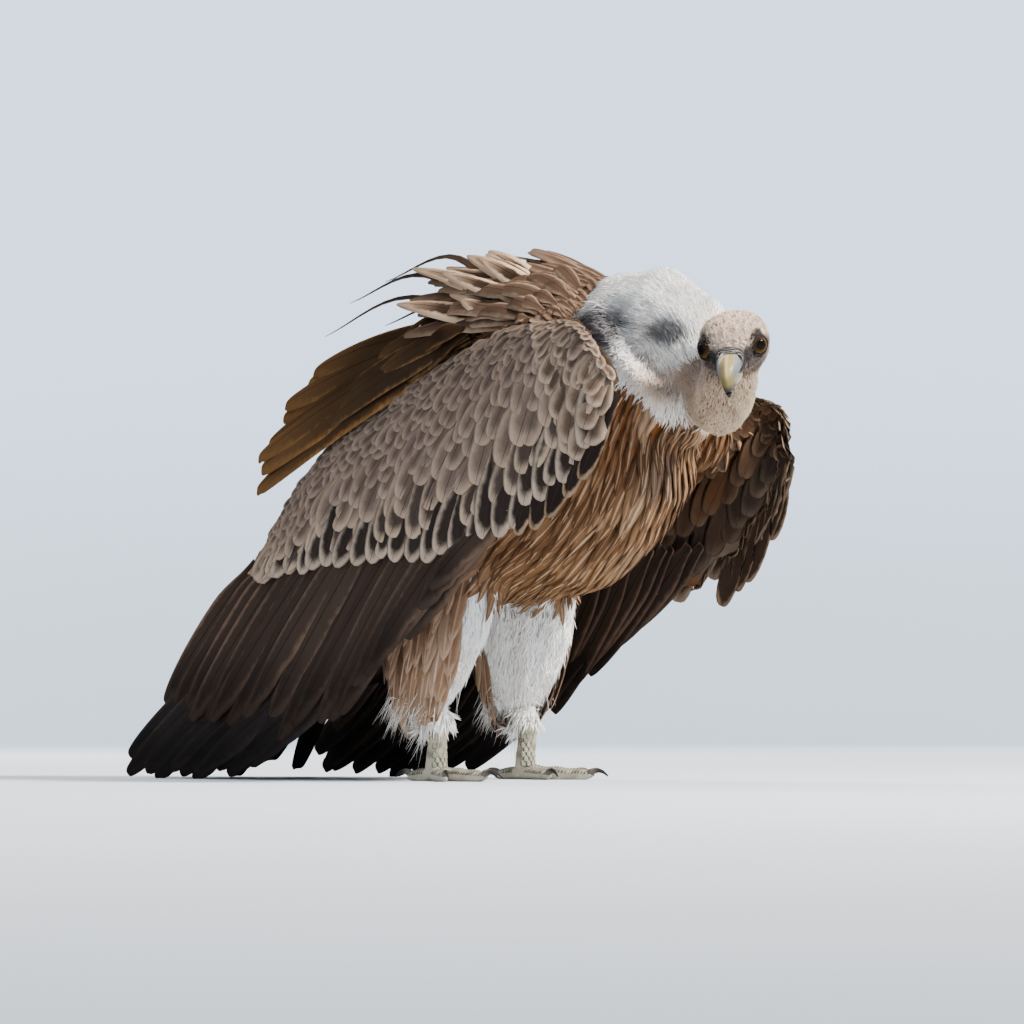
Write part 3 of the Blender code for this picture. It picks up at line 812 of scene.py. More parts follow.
def keep_largest(mesh: bpy.types.Mesh) -> None:
    """Delete every loose island of a mesh except the one with the most points.

    Args:
        mesh: the mesh to clean.
    """
    shape = bmesh.new()
    shape.from_mesh(mesh)
    shape.verts.ensure_lookup_table()
    island = np.full(len(shape.verts), -1)
    sizes: list[int] = []
    for start in shape.verts:
        if island[start.index] >= 0:
            continue
        island[start.index] = len(sizes)
        stack, size = [start], 0
        while stack:
            vertex = stack.pop()
            size += 1
            for edge in vertex.link_edges:
                other = edge.other_vert(vertex)
                if island[other.index] < 0:
                    island[other.index] = len(sizes)
                    stack.append(other)
        sizes.append(size)
    keep = int(np.argmax(sizes))
    loose = [v for v in shape.verts if island[v.index] != keep]
    bmesh.ops.delete(shape, geom=loose, context="VERTS")
    shape.to_mesh(mesh)
    shape.free()


# ---- the head's own frame -----------------------------------------------------------------------
@dataclass(frozen=True)
class HeadFrame:
    """The head's frame: +X toward the bill, +Y its left, +Z its crown."""

    turn: float = math.radians(64)      # the bill's bearing, from straight ahead toward the right
    dip: float = math.radians(27)
    roll: float = math.radians(5)
    eye: Triple = (0.0005, 0.0245, 0.0010)
    eye_radius: float = 0.0100
    eye_axis: Triple = (0.68, 0.72, 0.12)
    gaze: Triple = (0.75, 0.60, 0.28)

    @cached_property
    def turned(self) -> np.ndarray:
        """The rotation from the head's axes to the frame's."""
        spin = Matrix.Rotation(-math.pi / 2 - self.turn, 3, "Z")
        return np.array(spin @ Matrix.Rotation(self.dip, 3, "Y") @ Matrix.Rotation(self.roll, 3, "X"))

    @cached_property
    def origin(self) -> np.ndarray:
        """The point midway between the eyes, read from their CAD nodes."""
        middles = [np.mean([np.array(c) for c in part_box("eye_" + n)], 0) for n in SIDE_NAMES.values()]
        return np.mean(middles, 0) - self.turned @ np.array((self.eye[0], 0, self.eye[2]))

    def out(self, points: np.ndarray) -> np.ndarray:
        """Turn the head's own points into the frame."""
        return np.asarray(points) @ self.turned.T + self.origin

    def into(self, points: np.ndarray) -> np.ndarray:
        """Turn points of the frame into the head's own."""
        return (points - self.origin) @ self.turned

    def eye_centre(self, side: int) -> np.ndarray:
        """One eye's middle, in the head's own frame."""
        return np.array((self.eye[0], -side * self.eye[1], self.eye[2]))

    def eye_look(self, side: int, gaze: bool = False) -> np.ndarray:
        """The way one eye's lids open, or its pupil looks, in the head's own frame."""
        return unit(np.array(self.gaze if gaze else self.eye_axis) * (1, -side, 1))


HEAD = HeadFrame()


def near(points: np.ndarray, centre: Sequence[float], size: float | Sequence[float]) -> np.ndarray:
    """Give a soft spot: 1 at its centre, fading over its size."""
    return np.exp(-(((points - np.asarray(centre)) / np.asarray(size)) ** 2).sum(-1))


def mirrored(points: np.ndarray) -> np.ndarray:
    """Fold points onto one side, where a feature of both sides needs one formula."""
    return points * (1, 0, 1) + np.abs(points) * (0, 1, 0)


@dataclass(frozen=True)
class HeadTones:
    """The head's markings and the painted shade under its brows, shared by its skin and its down."""

    crown: tuple = (226, 202, 180)
    cheek: tuple = (98, 86, 80)
    dark: tuple = (32, 29, 30)
    cere: tuple = (40, 37, 38)
    chin: tuple = (108, 88, 52)
    throat: tuple = (170, 142, 112)

    def at(self, local: np.ndarray) -> np.ndarray:
        """Give the colour at points of the head's own frame.

        Args:
            local: places in the head's own frame.

        Returns:
            Rows of linear colour.
        """
        p = mirrored(local)
        x, z = p[..., 0], p[..., 2]
        eye = np.array((HEAD.eye[0] + 0.0062, HEAD.eye[1] + 0.0078, HEAD.eye[2]))
        streaks = ease(0.0, 0.8, mottle(local * (0.4, 1, 1), 0.0026, 5)) * 0.55 * ease(-0.002, 0.01, z)
        side = ease(0.009, -0.004, z) * ease(-0.045, -0.01, x)
        flecks = ease(0.0, 0.8, mottle(local, 0.0024, 6)) * 0.5 * side
        chin = ease(-0.016, -0.024, z) * ease(-0.008, 0.012, x)
        jaw = near(p, (0.004, 0.024, -0.021), (0.012, 0.008, 0.0055))
        lore = near(p, (0.021, 0.0165, -0.001), (0.0085, 0.0075, 0.0105))
        round_eye = near(p, eye, (0.0155, 0.0155, 0.0135))
        behind = near(p, eye - (0.013, -0.001, 0.002), (0.012, 0.01, 0.005))
        dark = np.clip(1.0 * lore + 1.25 * round_eye + 0.4 * behind, 0, 0.93)
        gap = p - HEAD.eye_centre(LEFT)
        far = np.linalg.norm(gap, axis=-1)
        above = gap @ unit(np.array((0.5, -0.2, 0.85))) / far
        # dark band over each upper lid: painted shade of the brow ridge
        brow = ease(0.0178, 0.0152, far) * ease(0.25, 0.6, above)
        gape = np.exp(-((z + 0.0125 + 0.15 * (x - 0.01)) / 0.0013) ** 2) * ease(-0.004, 0.002, x)
        cere = ease(0.0215, 0.0255, x) * ease(-0.018, -0.012, z)
        return painted(
            self.crown, ((124, 96, 78), streaks), (self.cheek, 0.85 * side),
            (self.throat, ease(-0.020, -0.031, z)), (self.chin, 0.8 * chin), ((92, 82, 78), flecks),
            ((84, 68, 60), 0.7 * jaw), (self.dark, dark), ((12, 10, 10), 0.95 * ease(0.0132, 0.0118, far)),
            ((34, 28, 27), 0.92 * brow), ((52, 42, 38), 0.75 * gape * ease(0.028, 0.020, x)),
            (self.cere, 0.9 * cere))


# ---- the skin -----------------------------------------------------------------------------------
@dataclass
class LegSkin:
    """The bare shank and toes of both legs, on flat soles."""

    stance: float = 0.080
    step_back: float = -0.004
    toe_out: float = math.radians(12)
    sole_flat: float = 0.0012
    voxel: float = 0.0016
    toes: dict[str, tuple[float, float, float]] = field(default_factory=lambda: {
        "inner": (-38.0, 0.052, 0.0076), "middle": (0.0, 0.076, 0.0080),
        "outer": (32.0, 0.056, 0.0072), "hind": (172.0, 0.034, 0.0076)})

    def toe_line(self, side: int, toe: str) -> tuple[np.ndarray, np.ndarray]:
        """Give a toe's start on the floor and its direction, as (ahead, right, up).

        Args:
            side: RIGHT or LEFT.
            toe: the toe's name.

        Returns:
            The start and a unit direction.
        """
        angle = self.toe_out + math.radians(self.toes[toe][0])
        start = np.array((self.step_back - 0.002, side * (self.stance + 0.001), 0.0))
        return start, np.array((math.cos(angle), side * math.sin(angle), 0.0))

    def toe_shape(self, toe: str, away: np.ndarray) -> tuple[np.ndarray, np.ndarray, np.ndarray]:
        """Give the height of a toe's middle, its half width and its rise above that, along it.

        Args:
            toe: the toe's name.
            away: distances along it from its start.

        Returns:
            Heights, half widths and rises, one for each distance.
        """
        _, length, radius = self.toes[toe]
        t = np.clip((away + 0.012) / (length + 0.0155), 0, 1)
        pads = 3 if length > 0.04 else 1
        wave = np.cos(np.clip(away / length, 0, 1) * pads * math.tau)
        width = radius * (1.0 - 0.30 * t) * (0.95 - 0.08 * wave)
        width = width * np.sqrt(np.clip(1 - np.abs(2 * t - 1) ** 6, 0.04, 1))
        return radius * (1.0 - 0.28 * t) - self.sole_flat, width, width * (1.20 - 0.20 * t)

    def make_toe(self, side: int, toe: str) -> bpy.types.Object:
        """Model one toe with a swelling pad under every joint.

        Args:
            side: RIGHT or LEFT.
            toe: the toe's name.

        Returns:
            The toe's closed shape.
        """
        start, along = self.toe_line(side, toe)
        away = np.linspace(-0.012, self.toes[toe][1] + 0.0035, 25)
        height, width, above = self.toe_shape(toe, away)
        centres = row(start + along * away[:, None] + np.outer(height, (0, 0, 1)))
        side_way = lie(np.cross(along, (0, 0, 1.0)))
        return loft("toe", centres, width, above, width * 1.04, side_way, np.array((0, 0, 1.0)), 14)

    def make_shank(self, side: int) -> bpy.types.Object:
        """Model the shank, with a swollen joint above the toes.

        Args:
            side: RIGHT or LEFT.

        Returns:
            The shank's closed shape.
        """
        rows = np.array([(0.002, 0.000, 0.078, 0.0085, 0.0100, 0.0090),
                         (0.002, 0.000, 0.056, 0.0092, 0.0110, 0.0098),
                         (0.001, 0.001, 0.040, 0.0090, 0.0108, 0.0096),
                         (-0.001, 0.001, 0.027, 0.0094, 0.0110, 0.0098),
                         (-0.002, 0.001, 0.015, 0.0100, 0.0108, 0.0100),
                         (-0.003, 0.001, 0.007, 0.0096, 0.0098, 0.0094)])
        fine = curve(rows, np.linspace(0, 1, 16))
        places = fine[:, :3] * (1, side, 1) + (self.step_back, side * self.stance, 0)
        return loft("shank", row(places), fine[:, 3], fine[:, 4], fine[:, 5],
                    lie((0, 1.0, 0)), lie((1.0, 0, 0)), 18)

    def build(self) -> bpy.types.Object:
        """Model both legs and join each into one skin."""
        legs = []
        for side in SIDE_NAMES:
            parts = [self.make_shank(side)] + [self.make_toe(side, toe) for toe in self.toes]
            legs.append(remesh(parts, self.voxel, 4))
        select_only(*legs)
        bpy.ops.object.join()
        skin = bpy.context.object
        points = points_of(skin.data)
        low = points[:, 2] < 0.030
        rough = mottle(points, 0.0035, 31) * 0.00025
        points += normals_of(skin.data) * rough[:, None]
        points[low, 2] = np.maximum(points[low, 2], 0.0)
        set_points(skin.data, points)
        return skin


class Zone(Enum):
    """Which part of the bird a point of the skin belongs to."""

    TRUNK = 0
    NECK = 1
    FRONT = 2
    RUFF = 3
    HEAD = 4
    THIGH = 5
    SHOULDER = 6
    ARM = 7


ZONE_NODES: dict[Zone, tuple[str, ...]] = {
    Zone.TRUNK: ("trunk",), Zone.NECK: ("neck_base",), Zone.FRONT: ("neck_front",),
    Zone.RUFF: ("ruff",), Zone.HEAD: ("head",), Zone.THIGH: ("thigh_right", "thigh_left"),
    Zone.SHOULDER: ("shoulder_right", "shoulder_left"), Zone.ARM: ("wing_arm_right", "wing_arm_left"),
}
COAT_DEPTH = {Zone.TRUNK: 0.011, Zone.NECK: 0.008, Zone.FRONT: 0.0035, Zone.RUFF: 0.013,
              Zone.HEAD: 0.0012, Zone.THIGH: 0.011, Zone.SHOULDER: 0.007, Zone.ARM: 0.0045}


@dataclass
class Skin:
    """One skin over the whole body, inside the outline of the coat."""

    voxel: float = 0.0050
    swell: float = 0.0013
    reach: float = 0.066              # how far from the eyes the fine mesh of the head goes
    outline: BVHTree = field(init=False)
    faces: list = field(init=False)
    centres: np.ndarray = field(init=False)
    outward: np.ndarray = field(init=False)
    areas: np.ndarray = field(init=False)
    zones: np.ndarray = field(init=False)
    depths: np.ndarray = field(init=False)
    unwrap: np.ndarray = field(init=False)
    finder: KDTree = field(init=False)

    def build(self) -> None:
        """Join the flesh, keep its outline for the coat, then sink and finish the skin."""
        nodes = [n for names in ZONE_NODES.values() for n in names] + ["eye_right", "eye_left"]
        body = remesh([merged_copy(n, self.swell) for n in nodes], self.voxel, 5)
        points = points_of(body.data) - normals_of(body.data) * self.swell * 0.6
        set_points(body.data, points)
        self.read_outline(body, points)
        self.sink(body, points)
        self.refine_head(body)
        self.sculpt_head(body)
        legs = LegSkin().build()
        select_only(body, legs)
        bpy.ops.object.join()
        body.name = body.data.name = "skin"
        self.paint(body)
        body.data.shade_smooth()
        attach(body, "root")
        feet = [f"{n}_{s}" for n in ("shank", "foot") for s in SIDE_NAMES.values()]
        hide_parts(*(n for names in ZONE_NODES.values() for n in names), *feet)
        log.info("skin: %d faces", len(body.data.polygons))

    def read_outline(self, body: bpy.types.Object, points: np.ndarray) -> None:
        """Keep the coat's outline: its faces, their zones and the depth of the coat there.

        Args:
            body: the flesh with its outline still full.
            points: its points.
        """
        mesh = body.data
        self.faces = [tuple(p.vertices) for p in mesh.polygons]
        self.outline = BVHTree.FromPolygons([tuple(p) for p in points], self.faces)
        self.centres = read(mesh.polygons, "center", 3).astype(float)
        self.outward = read(mesh.polygons, "normal", 3).astype(float)
        self.areas = read(mesh.polygons, "area")
        trees = {}
        for zone, names in ZONE_NODES.items():
            for name in names:
                copy = merged_copy(name)
                trees[name] = (zone, BVHTree.FromObject(copy, bpy.context.evaluated_depsgraph_get()))
                bpy.data.objects.remove(copy)
        self.zones = np.empty(len(self.faces), int)
        for k, centre in enumerate(self.centres):
            place = Vector(centre)
            gaps = ((tree.find_nearest(place)[3], zone.value) for zone, tree in trees.values())
            self.zones[k] = min(gaps)[1]

    def sink(self, body: bpy.types.Object, points: np.ndarray) -> None:
        """Move the skin in by the coat's depth, less where the body is thin.

        Args:
            body: the flesh to move in.
            points: its points.
        """
        depth_of = np.array([COAT_DEPTH[zone] for zone in Zone])
        sums, hits = np.zeros(len(points)), np.zeros(len(points))
        for face, zone in zip(self.faces, self.zones):
            for corner in face:
                sums[corner] += depth_of[zone]
                hits[corner] += 1
        depth = sums / np.maximum(hits, 1)
        edges = np.array([e.vertices for e in body.data.edges])
        normals = normals_of(body.data)
        for k, (p, n) in enumerate(zip(points, normals)):
            hit = self.outline.ray_cast(Vector(p - n * 1e-4), Vector(-n), 0.06)
            if hit[3] is not None:
                depth[k] = min(depth[k], 0.34 * hit[3])
        degree = np.bincount(edges.ravel(), minlength=len(points))
        for _ in range(8):
            total = np.zeros(len(points))
            np.add.at(total, edges[:, 0], depth[edges[:, 1]])
            np.add.at(total, edges[:, 1], depth[edges[:, 0]])
            depth = 0.5 * depth + 0.5 * total / np.maximum(degree, 1)
        for _ in range(4):
            points = points - normals * (depth / 4)[:, None]
            set_points(body.data, points)
            normals = normals_of(body.data)
        self.depths = np.array([depth[list(face)].mean() for face in self.faces])
        select_only(body)
        smooth = body.modifiers.new("smooth", "SMOOTH")
        smooth.factor, smooth.iterations = 0.5, 3
        bpy.ops.object.modifier_apply(modifier=smooth.name)

    def refine_head(self, body: bpy.types.Object) -> None:
        """Split the head's faces twice, so that lids and folds have points to stand on.

        Args:
            body: the skin to refine.
        """
        for reach in (self.reach, self.reach - 0.010):
            shape = bmesh.new()
            shape.from_mesh(body.data)
            middle = Vector(HEAD.origin)
            edges = [e for e in shape.edges if all((v.co - middle).length < reach for v in e.verts)]
            bmesh.ops.subdivide_edges(shape, edges=edges, cuts=1, use_grid_fill=True, smooth=0.4)
            shape.to_mesh(body.data)
            shape.free()

    def sculpt_head(self, body: bpy.types.Object) -> None:
        """Press the eyes' sockets in and raise the lids, brows, folds and gape.

        Args:
            body: the skin to sculpt.
        """
        points, normals = points_of(body.data), normals_of(body.data)
        local = HEAD.into(points)
        chosen = np.flatnonzero(np.linalg.norm(local, axis=1) < self.reach)
        p, n = local[chosen], normals[chosen] @ HEAD.turned
        m = mirrored(p)
        push = np.zeros(len(p))
        for a, b, size, rise in (
            ((0.019, 0.0180, 0.0105), (0.006, 0.0275, 0.0135), 0.0036, 0.0030),
            ((0.006, 0.0275, 0.0135), (-0.009, 0.0335, 0.0115), 0.0036, 0.0022),
            ((0.029, 0.0105, -0.0150), (0.008, 0.0225, -0.0155), 0.0011, -0.0014),
            ((0.028, 0.0110, -0.0175), (0.007, 0.0220, -0.0180), 0.0014, 0.0009),
            ((0.008, 0.0225, -0.0155), (0.003, 0.0250, -0.0190), 0.0012, -0.0011),
            ((0.013, 0.0240, -0.0085), (0.000, 0.0320, -0.0115), 0.0010, -0.0008),
        ):
            a, b = np.array(a), np.array(b)
            share = np.clip(((m - a) @ (b - a)) / ((b - a) @ (b - a)), 0, 1)
            gap = np.linalg.norm(m - a - share[:, None] * (b - a), axis=1)
            push += rise * np.exp(-((gap / size) ** 2))
        push -= 0.0024 * near(m, (0.0215, 0.0165, 0.0005), (0.005, 0.006, 0.006))
        push += 0.0012 * near(m, (-0.016, 0.0345, -0.012), 0.009)
        base = ease(0.017, 0.021, p[:, 0]) * ease(-0.016, -0.008, p[:, 2])
        push += base * 0.0006 * np.sin(p[:, 0] * math.tau / 0.0030)
        push += 0.00022 * mottle(p, 0.0028, 3) + 0.0003 * mottle(p, 0.0065, 4)
        p = p + n * push[:, None]
        for side in SIDE_NAMES:
            p = self.set_lids(p, side)
        points[chosen] = HEAD.out(p)
        set_points(body.data, points)

    @staticmethod
    def set_lids(p: np.ndarray, side: int) -> np.ndarray:
        """Open the skin round one eye and lay its lids on the ball.

        Args:
            p: places in the head's own frame.
            side: RIGHT or LEFT.

        Returns:
            The moved places.
        """
        centre, look = HEAD.eye_centre(side), HEAD.eye_look(side)
        gap = p - centre
        far = np.linalg.norm(gap, axis=1)
        angle = np.degrees(np.arccos(np.clip((gap @ look) / far, -1, 1)))
        flat = unit(gap - (gap @ look)[:, None] * look)
        top = flat[:, 2]
        opening = 53 - 7 * np.clip(top, 0, 1) ** 2 + 3 * (1 - np.abs(top))
        past = angle - opening
        r = HEAD.eye_radius
        lid = r + 0.0004 + 0.0012 * ease(-3, 5, past) + 0.0005 * np.clip(top, 0, 1) * ease(0, 12, past)
        target = np.where(past < -2, r - 0.0016, lid)
        target = target - 0.0007 * np.exp(-(((past - 19) / 4) ** 2))
        share = (1 - ease(14, 44, past)) * ease(0.024, 0.018, far)
        return centre + gap / far[:, None] * (far + (target - far) * share)[:, None]

    def paint(self, body: bpy.types.Object) -> None:
        """Write the skin's tones, dress it and unwrap it.

        Args:
            body: the finished skin.
        """
        points = points_of(body.data)
        set_colours(body.data, "Tone", skin_tone(points), "FLOAT_COLOR")
        body.data.materials.clear()
        body.data.materials.append(SkinFinish("bare_skin").make())
        select_only(body)
        bpy.ops.object.mode_set(mode="EDIT")
        bpy.ops.mesh.select_all(action="SELECT")
        bpy.ops.uv.smart_project(angle_limit=math.radians(70), island_margin=0.001)
        bpy.ops.object.mode_set(mode="OBJECT")
        layer = body.data.uv_layers[0]
        layer.name = "OFBake"
        self.unwrap = np.zeros((len(points), 2))
        self.unwrap[read(body.data.loops, "vertex_index", 1, np.int32)] = read(layer.uv, "vector", 2)
        self.finder = KDTree(len(points))
        for k, p in enumerate(points):
            self.finder.insert(p, k)
        self.finder.balance()

    def bake_places(self, roots: np.ndarray) -> np.ndarray:
        """Find where roots lie on the skin's unwrap."""
        return np.array([self.unwrap[self.finder.find(Vector(p))[1]] for p in roots])


SLATE_SPOTS = (((0.186, 0.078, 0.463), (0.036, 0.034, 0.0185)),
               ((0.257, 0.050, 0.447), (0.018, 0.027, 0.0120)))


def slate(places: np.ndarray) -> np.ndarray:
    """Mark the bare slate-coloured patches on both sides of the neck's root."""
    spots = [near(mirrored(places), centre, size) for centre, size in SLATE_SPOTS]
    return np.clip(2.2 * np.max(spots, axis=0), 0, 1)


RIDGE = ((0.00, 0.02, 0.047, 0.072, 0.089, 0.13), (0.354, 0.358, 0.366, 0.388, 0.418, 0.482))


def bib(places: np.ndarray) -> np.ndarray:
    """Mark the rufous feathers of the collar's outer lower part, below its white ridge."""
    ridge = np.interp(np.abs(places[:, 1]), *RIDGE)
    return ease(0.003, -0.004, places[:, 2] - ridge)


def hollow(places: np.ndarray) -> np.ndarray:
    """Mark the tan hollow between the collar and the neck: painted shade in that crease."""
    return np.clip(1.4 * near(mirrored(places), (0.256, 0.055, 0.412), (0.017, 0.022, 0.026)), 0, 1)


def thigh_brown(places: np.ndarray) -> np.ndarray:
    """Mark the brown outer and rear side of each thigh.

    Args:
        places: places as (ahead, right, up).

    Returns:
        A share from 0 to 1 for each place.
    """
    outside = (np.abs(places[:, 1]) - 0.081) / 0.045
    front = (places[:, 0] + 0.004 - 0.25 * (places[:, 2] - 0.1)) / 0.045
    return ease(0.0, 0.35, outside * 0.8 - front * 0.75 + 0.05)


def skin_tone(points: np.ndarray) -> np.ndarray:
    """Give the skin's colour at places of the frame, close to the coat's over it, with painted shade in the
    neck's hollow and under the brows.

    Args:
        points: places of the frame.

    Returns:
        Rows of linear colour.
    """
    b, local = bird(points), HEAD.into(points)
    ahead, out, up = b[:, 0], np.abs(b[:, 1]), b[:, 2]
    neck = ease(0.150, 0.175, ahead) * ease(0.335, 0.36, up) * ease(0.118, 0.108, out)
    pale = painted((232, 226, 220), ((186, 166, 158), ease(0.243, 0.262, ahead) * ease(0.452, 0.430, up)),
                   ((150, 130, 126), ease(0.1, 0.9, mottle(points, 0.012, 8)) * 0.4))
    thigh = ease(0.205, 0.170, up) * ease(0.022, 0.034, out) * ease(-0.085, -0.06, ahead)
    scale = painted((176, 168, 142), ((112, 106, 92), ease(-0.1, 0.9, mottle(points, 0.006, 12)) * 0.7),
                    ((196, 188, 168), ease(0.03, 0.012, up) * 0.6))
    colour = painted((146, 98, 56), ((104, 60, 28), ease(-0.2, 1.0, mottle(b, 0.035, 21)) * 0.6),
                     ((106, 84, 68), ease(0.36, 0.41, up) * ease(0.17, 0.10, ahead)),
                     ((106, 88, 74), ease(0.118, 0.132, out) * ease(0.20, 0.22, up)))
    # the hollow's tan is painted shade of the crease between the collar and the neck
    colour = painted(blend(colour, pale, neck), ((168, 140, 118), 0.8 * hollow(b) * neck),
                     ((84, 82, 85), slate(b) * neck),
                     ((132, 78, 36), bib(b) * ease(0.17, 0.19, ahead) * ease(0.33, 0.35, up)))
    colour = blend(colour, HeadTones().at(local), ease(0.062, 0.046, np.linalg.norm(local, axis=1)))
    colour = blend(colour, painted((234, 229, 222), ((140, 104, 78), thigh_brown(b))), thigh)
    return blend(colour, scale, ease(0.064, 0.050, up))


# ---- the coat -----------------------------------------------------------------------------------
NECK_LINE = ((0.090, 0.000, 0.440), (0.135, 0.000, 0.456), (0.178, 0.000, 0.468), (0.220, 0.000, 0.462),
             (0.253, 0.002, 0.448), (0.275, 0.008, 0.410), (0.292, 0.018, 0.386), (0.322, 0.042, 0.387),
             (0.334, 0.053, 0.424))
BODY_FLOW = (   # a place, (ahead, right, up), and the way its feathers lie; mirrored to the left
    ((0.200, 0.080, 0.370), (-0.35, 0.05, -0.90)),
    ((0.240, 0.000, 0.380), (-0.30, 0.00, -0.95)),
    ((0.200, 0.000, 0.270), (-0.70, 0.00, -0.72)),
    ((0.120, 0.000, 0.215), (-0.92, 0.00, -0.40)),
    ((0.000, 0.000, 0.170), (-1.00, 0.00, -0.12)),
    ((-0.130, 0.000, 0.200), (-1.00, 0.00, 0.00)),
    ((0.060, 0.110, 0.300), (-0.62, 0.00, -0.78)),
    ((-0.060, 0.100, 0.260), (-0.85, 0.00, -0.50)),
    ((0.000, 0.000, 0.450), (-1.00, 0.00, -0.12)),
    ((-0.150, 0.000, 0.350), (-0.90, 0.00, -0.45)),
    ((0.140, 0.000, 0.460), (-1.00, 0.00, 0.05)),
    ((0.050, 0.100, 0.400), (-0.92, 0.05, -0.35)),
)


@dataclass
class Coat:
    """Everything that grows from the skin outside the wings' own rows."""

    skin: Skin
    seed: int = 11

    def __post_init__(self) -> None:
        """Prepare the fields that say which way the coat lies."""
        self.rng = np.random.default_rng(self.seed)
        places, ways = zip(*BODY_FLOW)
        mirror = np.array((1, -1, 1))
        self.flow_places = np.vstack((places, np.array(places) * mirror))
        self.flow_ways = np.vstack((ways, np.array(ways) * mirror))
        self.neck = curve(NECK_LINE, np.linspace(0, 1, 80))
        self.neck_way = unit(-np.gradient(self.neck, axis=0))

    def scatter(self, zones: Iterable[Zone], spacing: float,
                wanted: Callable[[np.ndarray, np.ndarray], np.ndarray] | None = None) -> tuple:
        """Spread roots evenly over the outline.

        Args:
            zones: the parts of the bird that take them.
            spacing: the usual distance between them.
            wanted: share of the roots to keep, from places and normals.

        Returns:
            Places (ahead, right, up), the same in the frame, outward normals and coat depths.
        """
        s, rng = self.skin, self.rng
        weights = np.where(np.isin(s.zones, [z.value for z in zones]), s.areas, 0.0).astype(float)
        if wanted is not None:
            weights *= np.clip(wanted(bird(s.centres), bird(s.outward + SPOT)), 0, 1)
        total = weights.sum()
        number = int(total / spacing**2)
        marks = (np.arange(number) + rng.random(number)) * total / number
        k = np.minimum(np.searchsorted(np.cumsum(weights), marks), len(weights) - 1)
        normals = s.outward[k]
        jitter = rng.normal(size=(number, 3)) * np.sqrt(s.areas[k])[:, None] * 0.5
        jitter -= normals * (jitter * normals).sum(1, keepdims=True)
        points = s.centres[k] + jitter
        return bird(points), points, normals, s.depths[k]

    def thin(self, points: np.ndarray, apart: float) -> np.ndarray:
        """Pick points that keep a least distance from one another.

        Args:
            points: places of the frame.
            apart: the least distance in metres.

        Returns:
            The places' numbers that are kept.
        """
        cells: dict[tuple, list] = {}
        kept = []
        keys = np.floor(points / apart).astype(int)
        for k in self.rng.permutation(len(points)):
            x, y, z = keys[k]
            close = (q for i in (-1, 0, 1) for j in (-1, 0, 1) for m in (-1, 0, 1)
                     for q in cells.get((x + i, y + j, z + m), ()))
            if all(((points[k] - points[q]) ** 2).sum() > apart * apart for q in close):
                cells.setdefault((x, y, z), []).append(k)
                kept.append(k)
        return np.array(kept)

    def spaced(self, apart: float, *groups: tuple) -> list[np.ndarray]:
        """Join scattered roots and keep those that stand a least distance apart.

        Args:
            apart: the least distance in metres.
            groups: what scatter() gives, once or more.

        Returns:
            Places, points, normals and depths of the roots that are kept.
        """
        joined = [np.concatenate(parts) for parts in zip(*groups)]
        kept = self.thin(joined[1], apart)
        return [part[kept] for part in joined]

    def body_way(self, places: np.ndarray) -> np.ndarray:
        """Give the lie of the body's feathers at (ahead, right, up) places.

        Args:
            places: places as (ahead, right, up).

        Returns:
            Unit directions of the frame.
        """
        gap = ((places[:, None] - self.flow_places) ** 2).sum(-1)
        weights = 1 / (gap + 1e-4) ** 1.6
        return lie((weights[..., None] * self.flow_ways).sum(1) / weights.sum(1, keepdims=True))

    def along_neck(self, places: np.ndarray, _: np.ndarray) -> np.ndarray:
        """Give the lie of the neck's down, away from the head."""
        k = ((places[:, None] - self.neck) ** 2).sum(-1).argmin(1)
        return lie(self.neck_way[k])

    def trace(self, roots: np.ndarray, ways: np.ndarray, normals: np.ndarray, length: np.ndarray,
              t: np.ndarray, low: np.ndarray, high: np.ndarray,
              give: float = 0.35) -> tuple[np.ndarray, np.ndarray]:
        """Lay spines along the outline.

        Args:
            roots: where they start, on the outline.
            ways: unit directions there.
            normals: outward normals there.
            length: each spine's length.
            t: shares of the length.
            low: depth of each root under the outline.
            high: height of each tip over it.
            give: how far a spine may bend in each step, as a share of the step.

        Returns:
            Spines and normals.
        """
        here, up = roots, normals
        way = unit(ways - up * (ways * up).sum(1, keepdims=True))
        spine, ups = [here], [up]
        for step in np.diff(t):
            reach = (length * step)[:, None]
            ahead = here + way * reach
            found, bends = np.empty_like(ahead), np.empty_like(up)
            for k, point in enumerate(ahead):
                found[k], bends[k] = self.skin.outline.find_nearest(Vector(point))[:2]
            shift = found - ahead
            size = np.linalg.norm(shift, axis=1, keepdims=True)
            shift *= np.minimum(1, give * reach / np.maximum(size, 1e-9))
            new = ahead + shift
            way = unit(0.5 * way + 0.5 * unit(new - here))
            up = unit(0.6 * up + 0.4 * bends)
            way = unit(way - up * (way * up).sum(1, keepdims=True) * 0.8)
            here = new
            spine.append(here)
            ups.append(up)
        spines, raised = np.stack(spine, 1), np.stack(ups, 1)
        height = -low[:, None] + (low + high)[:, None] * t
        return spines + raised * height[..., None], raised

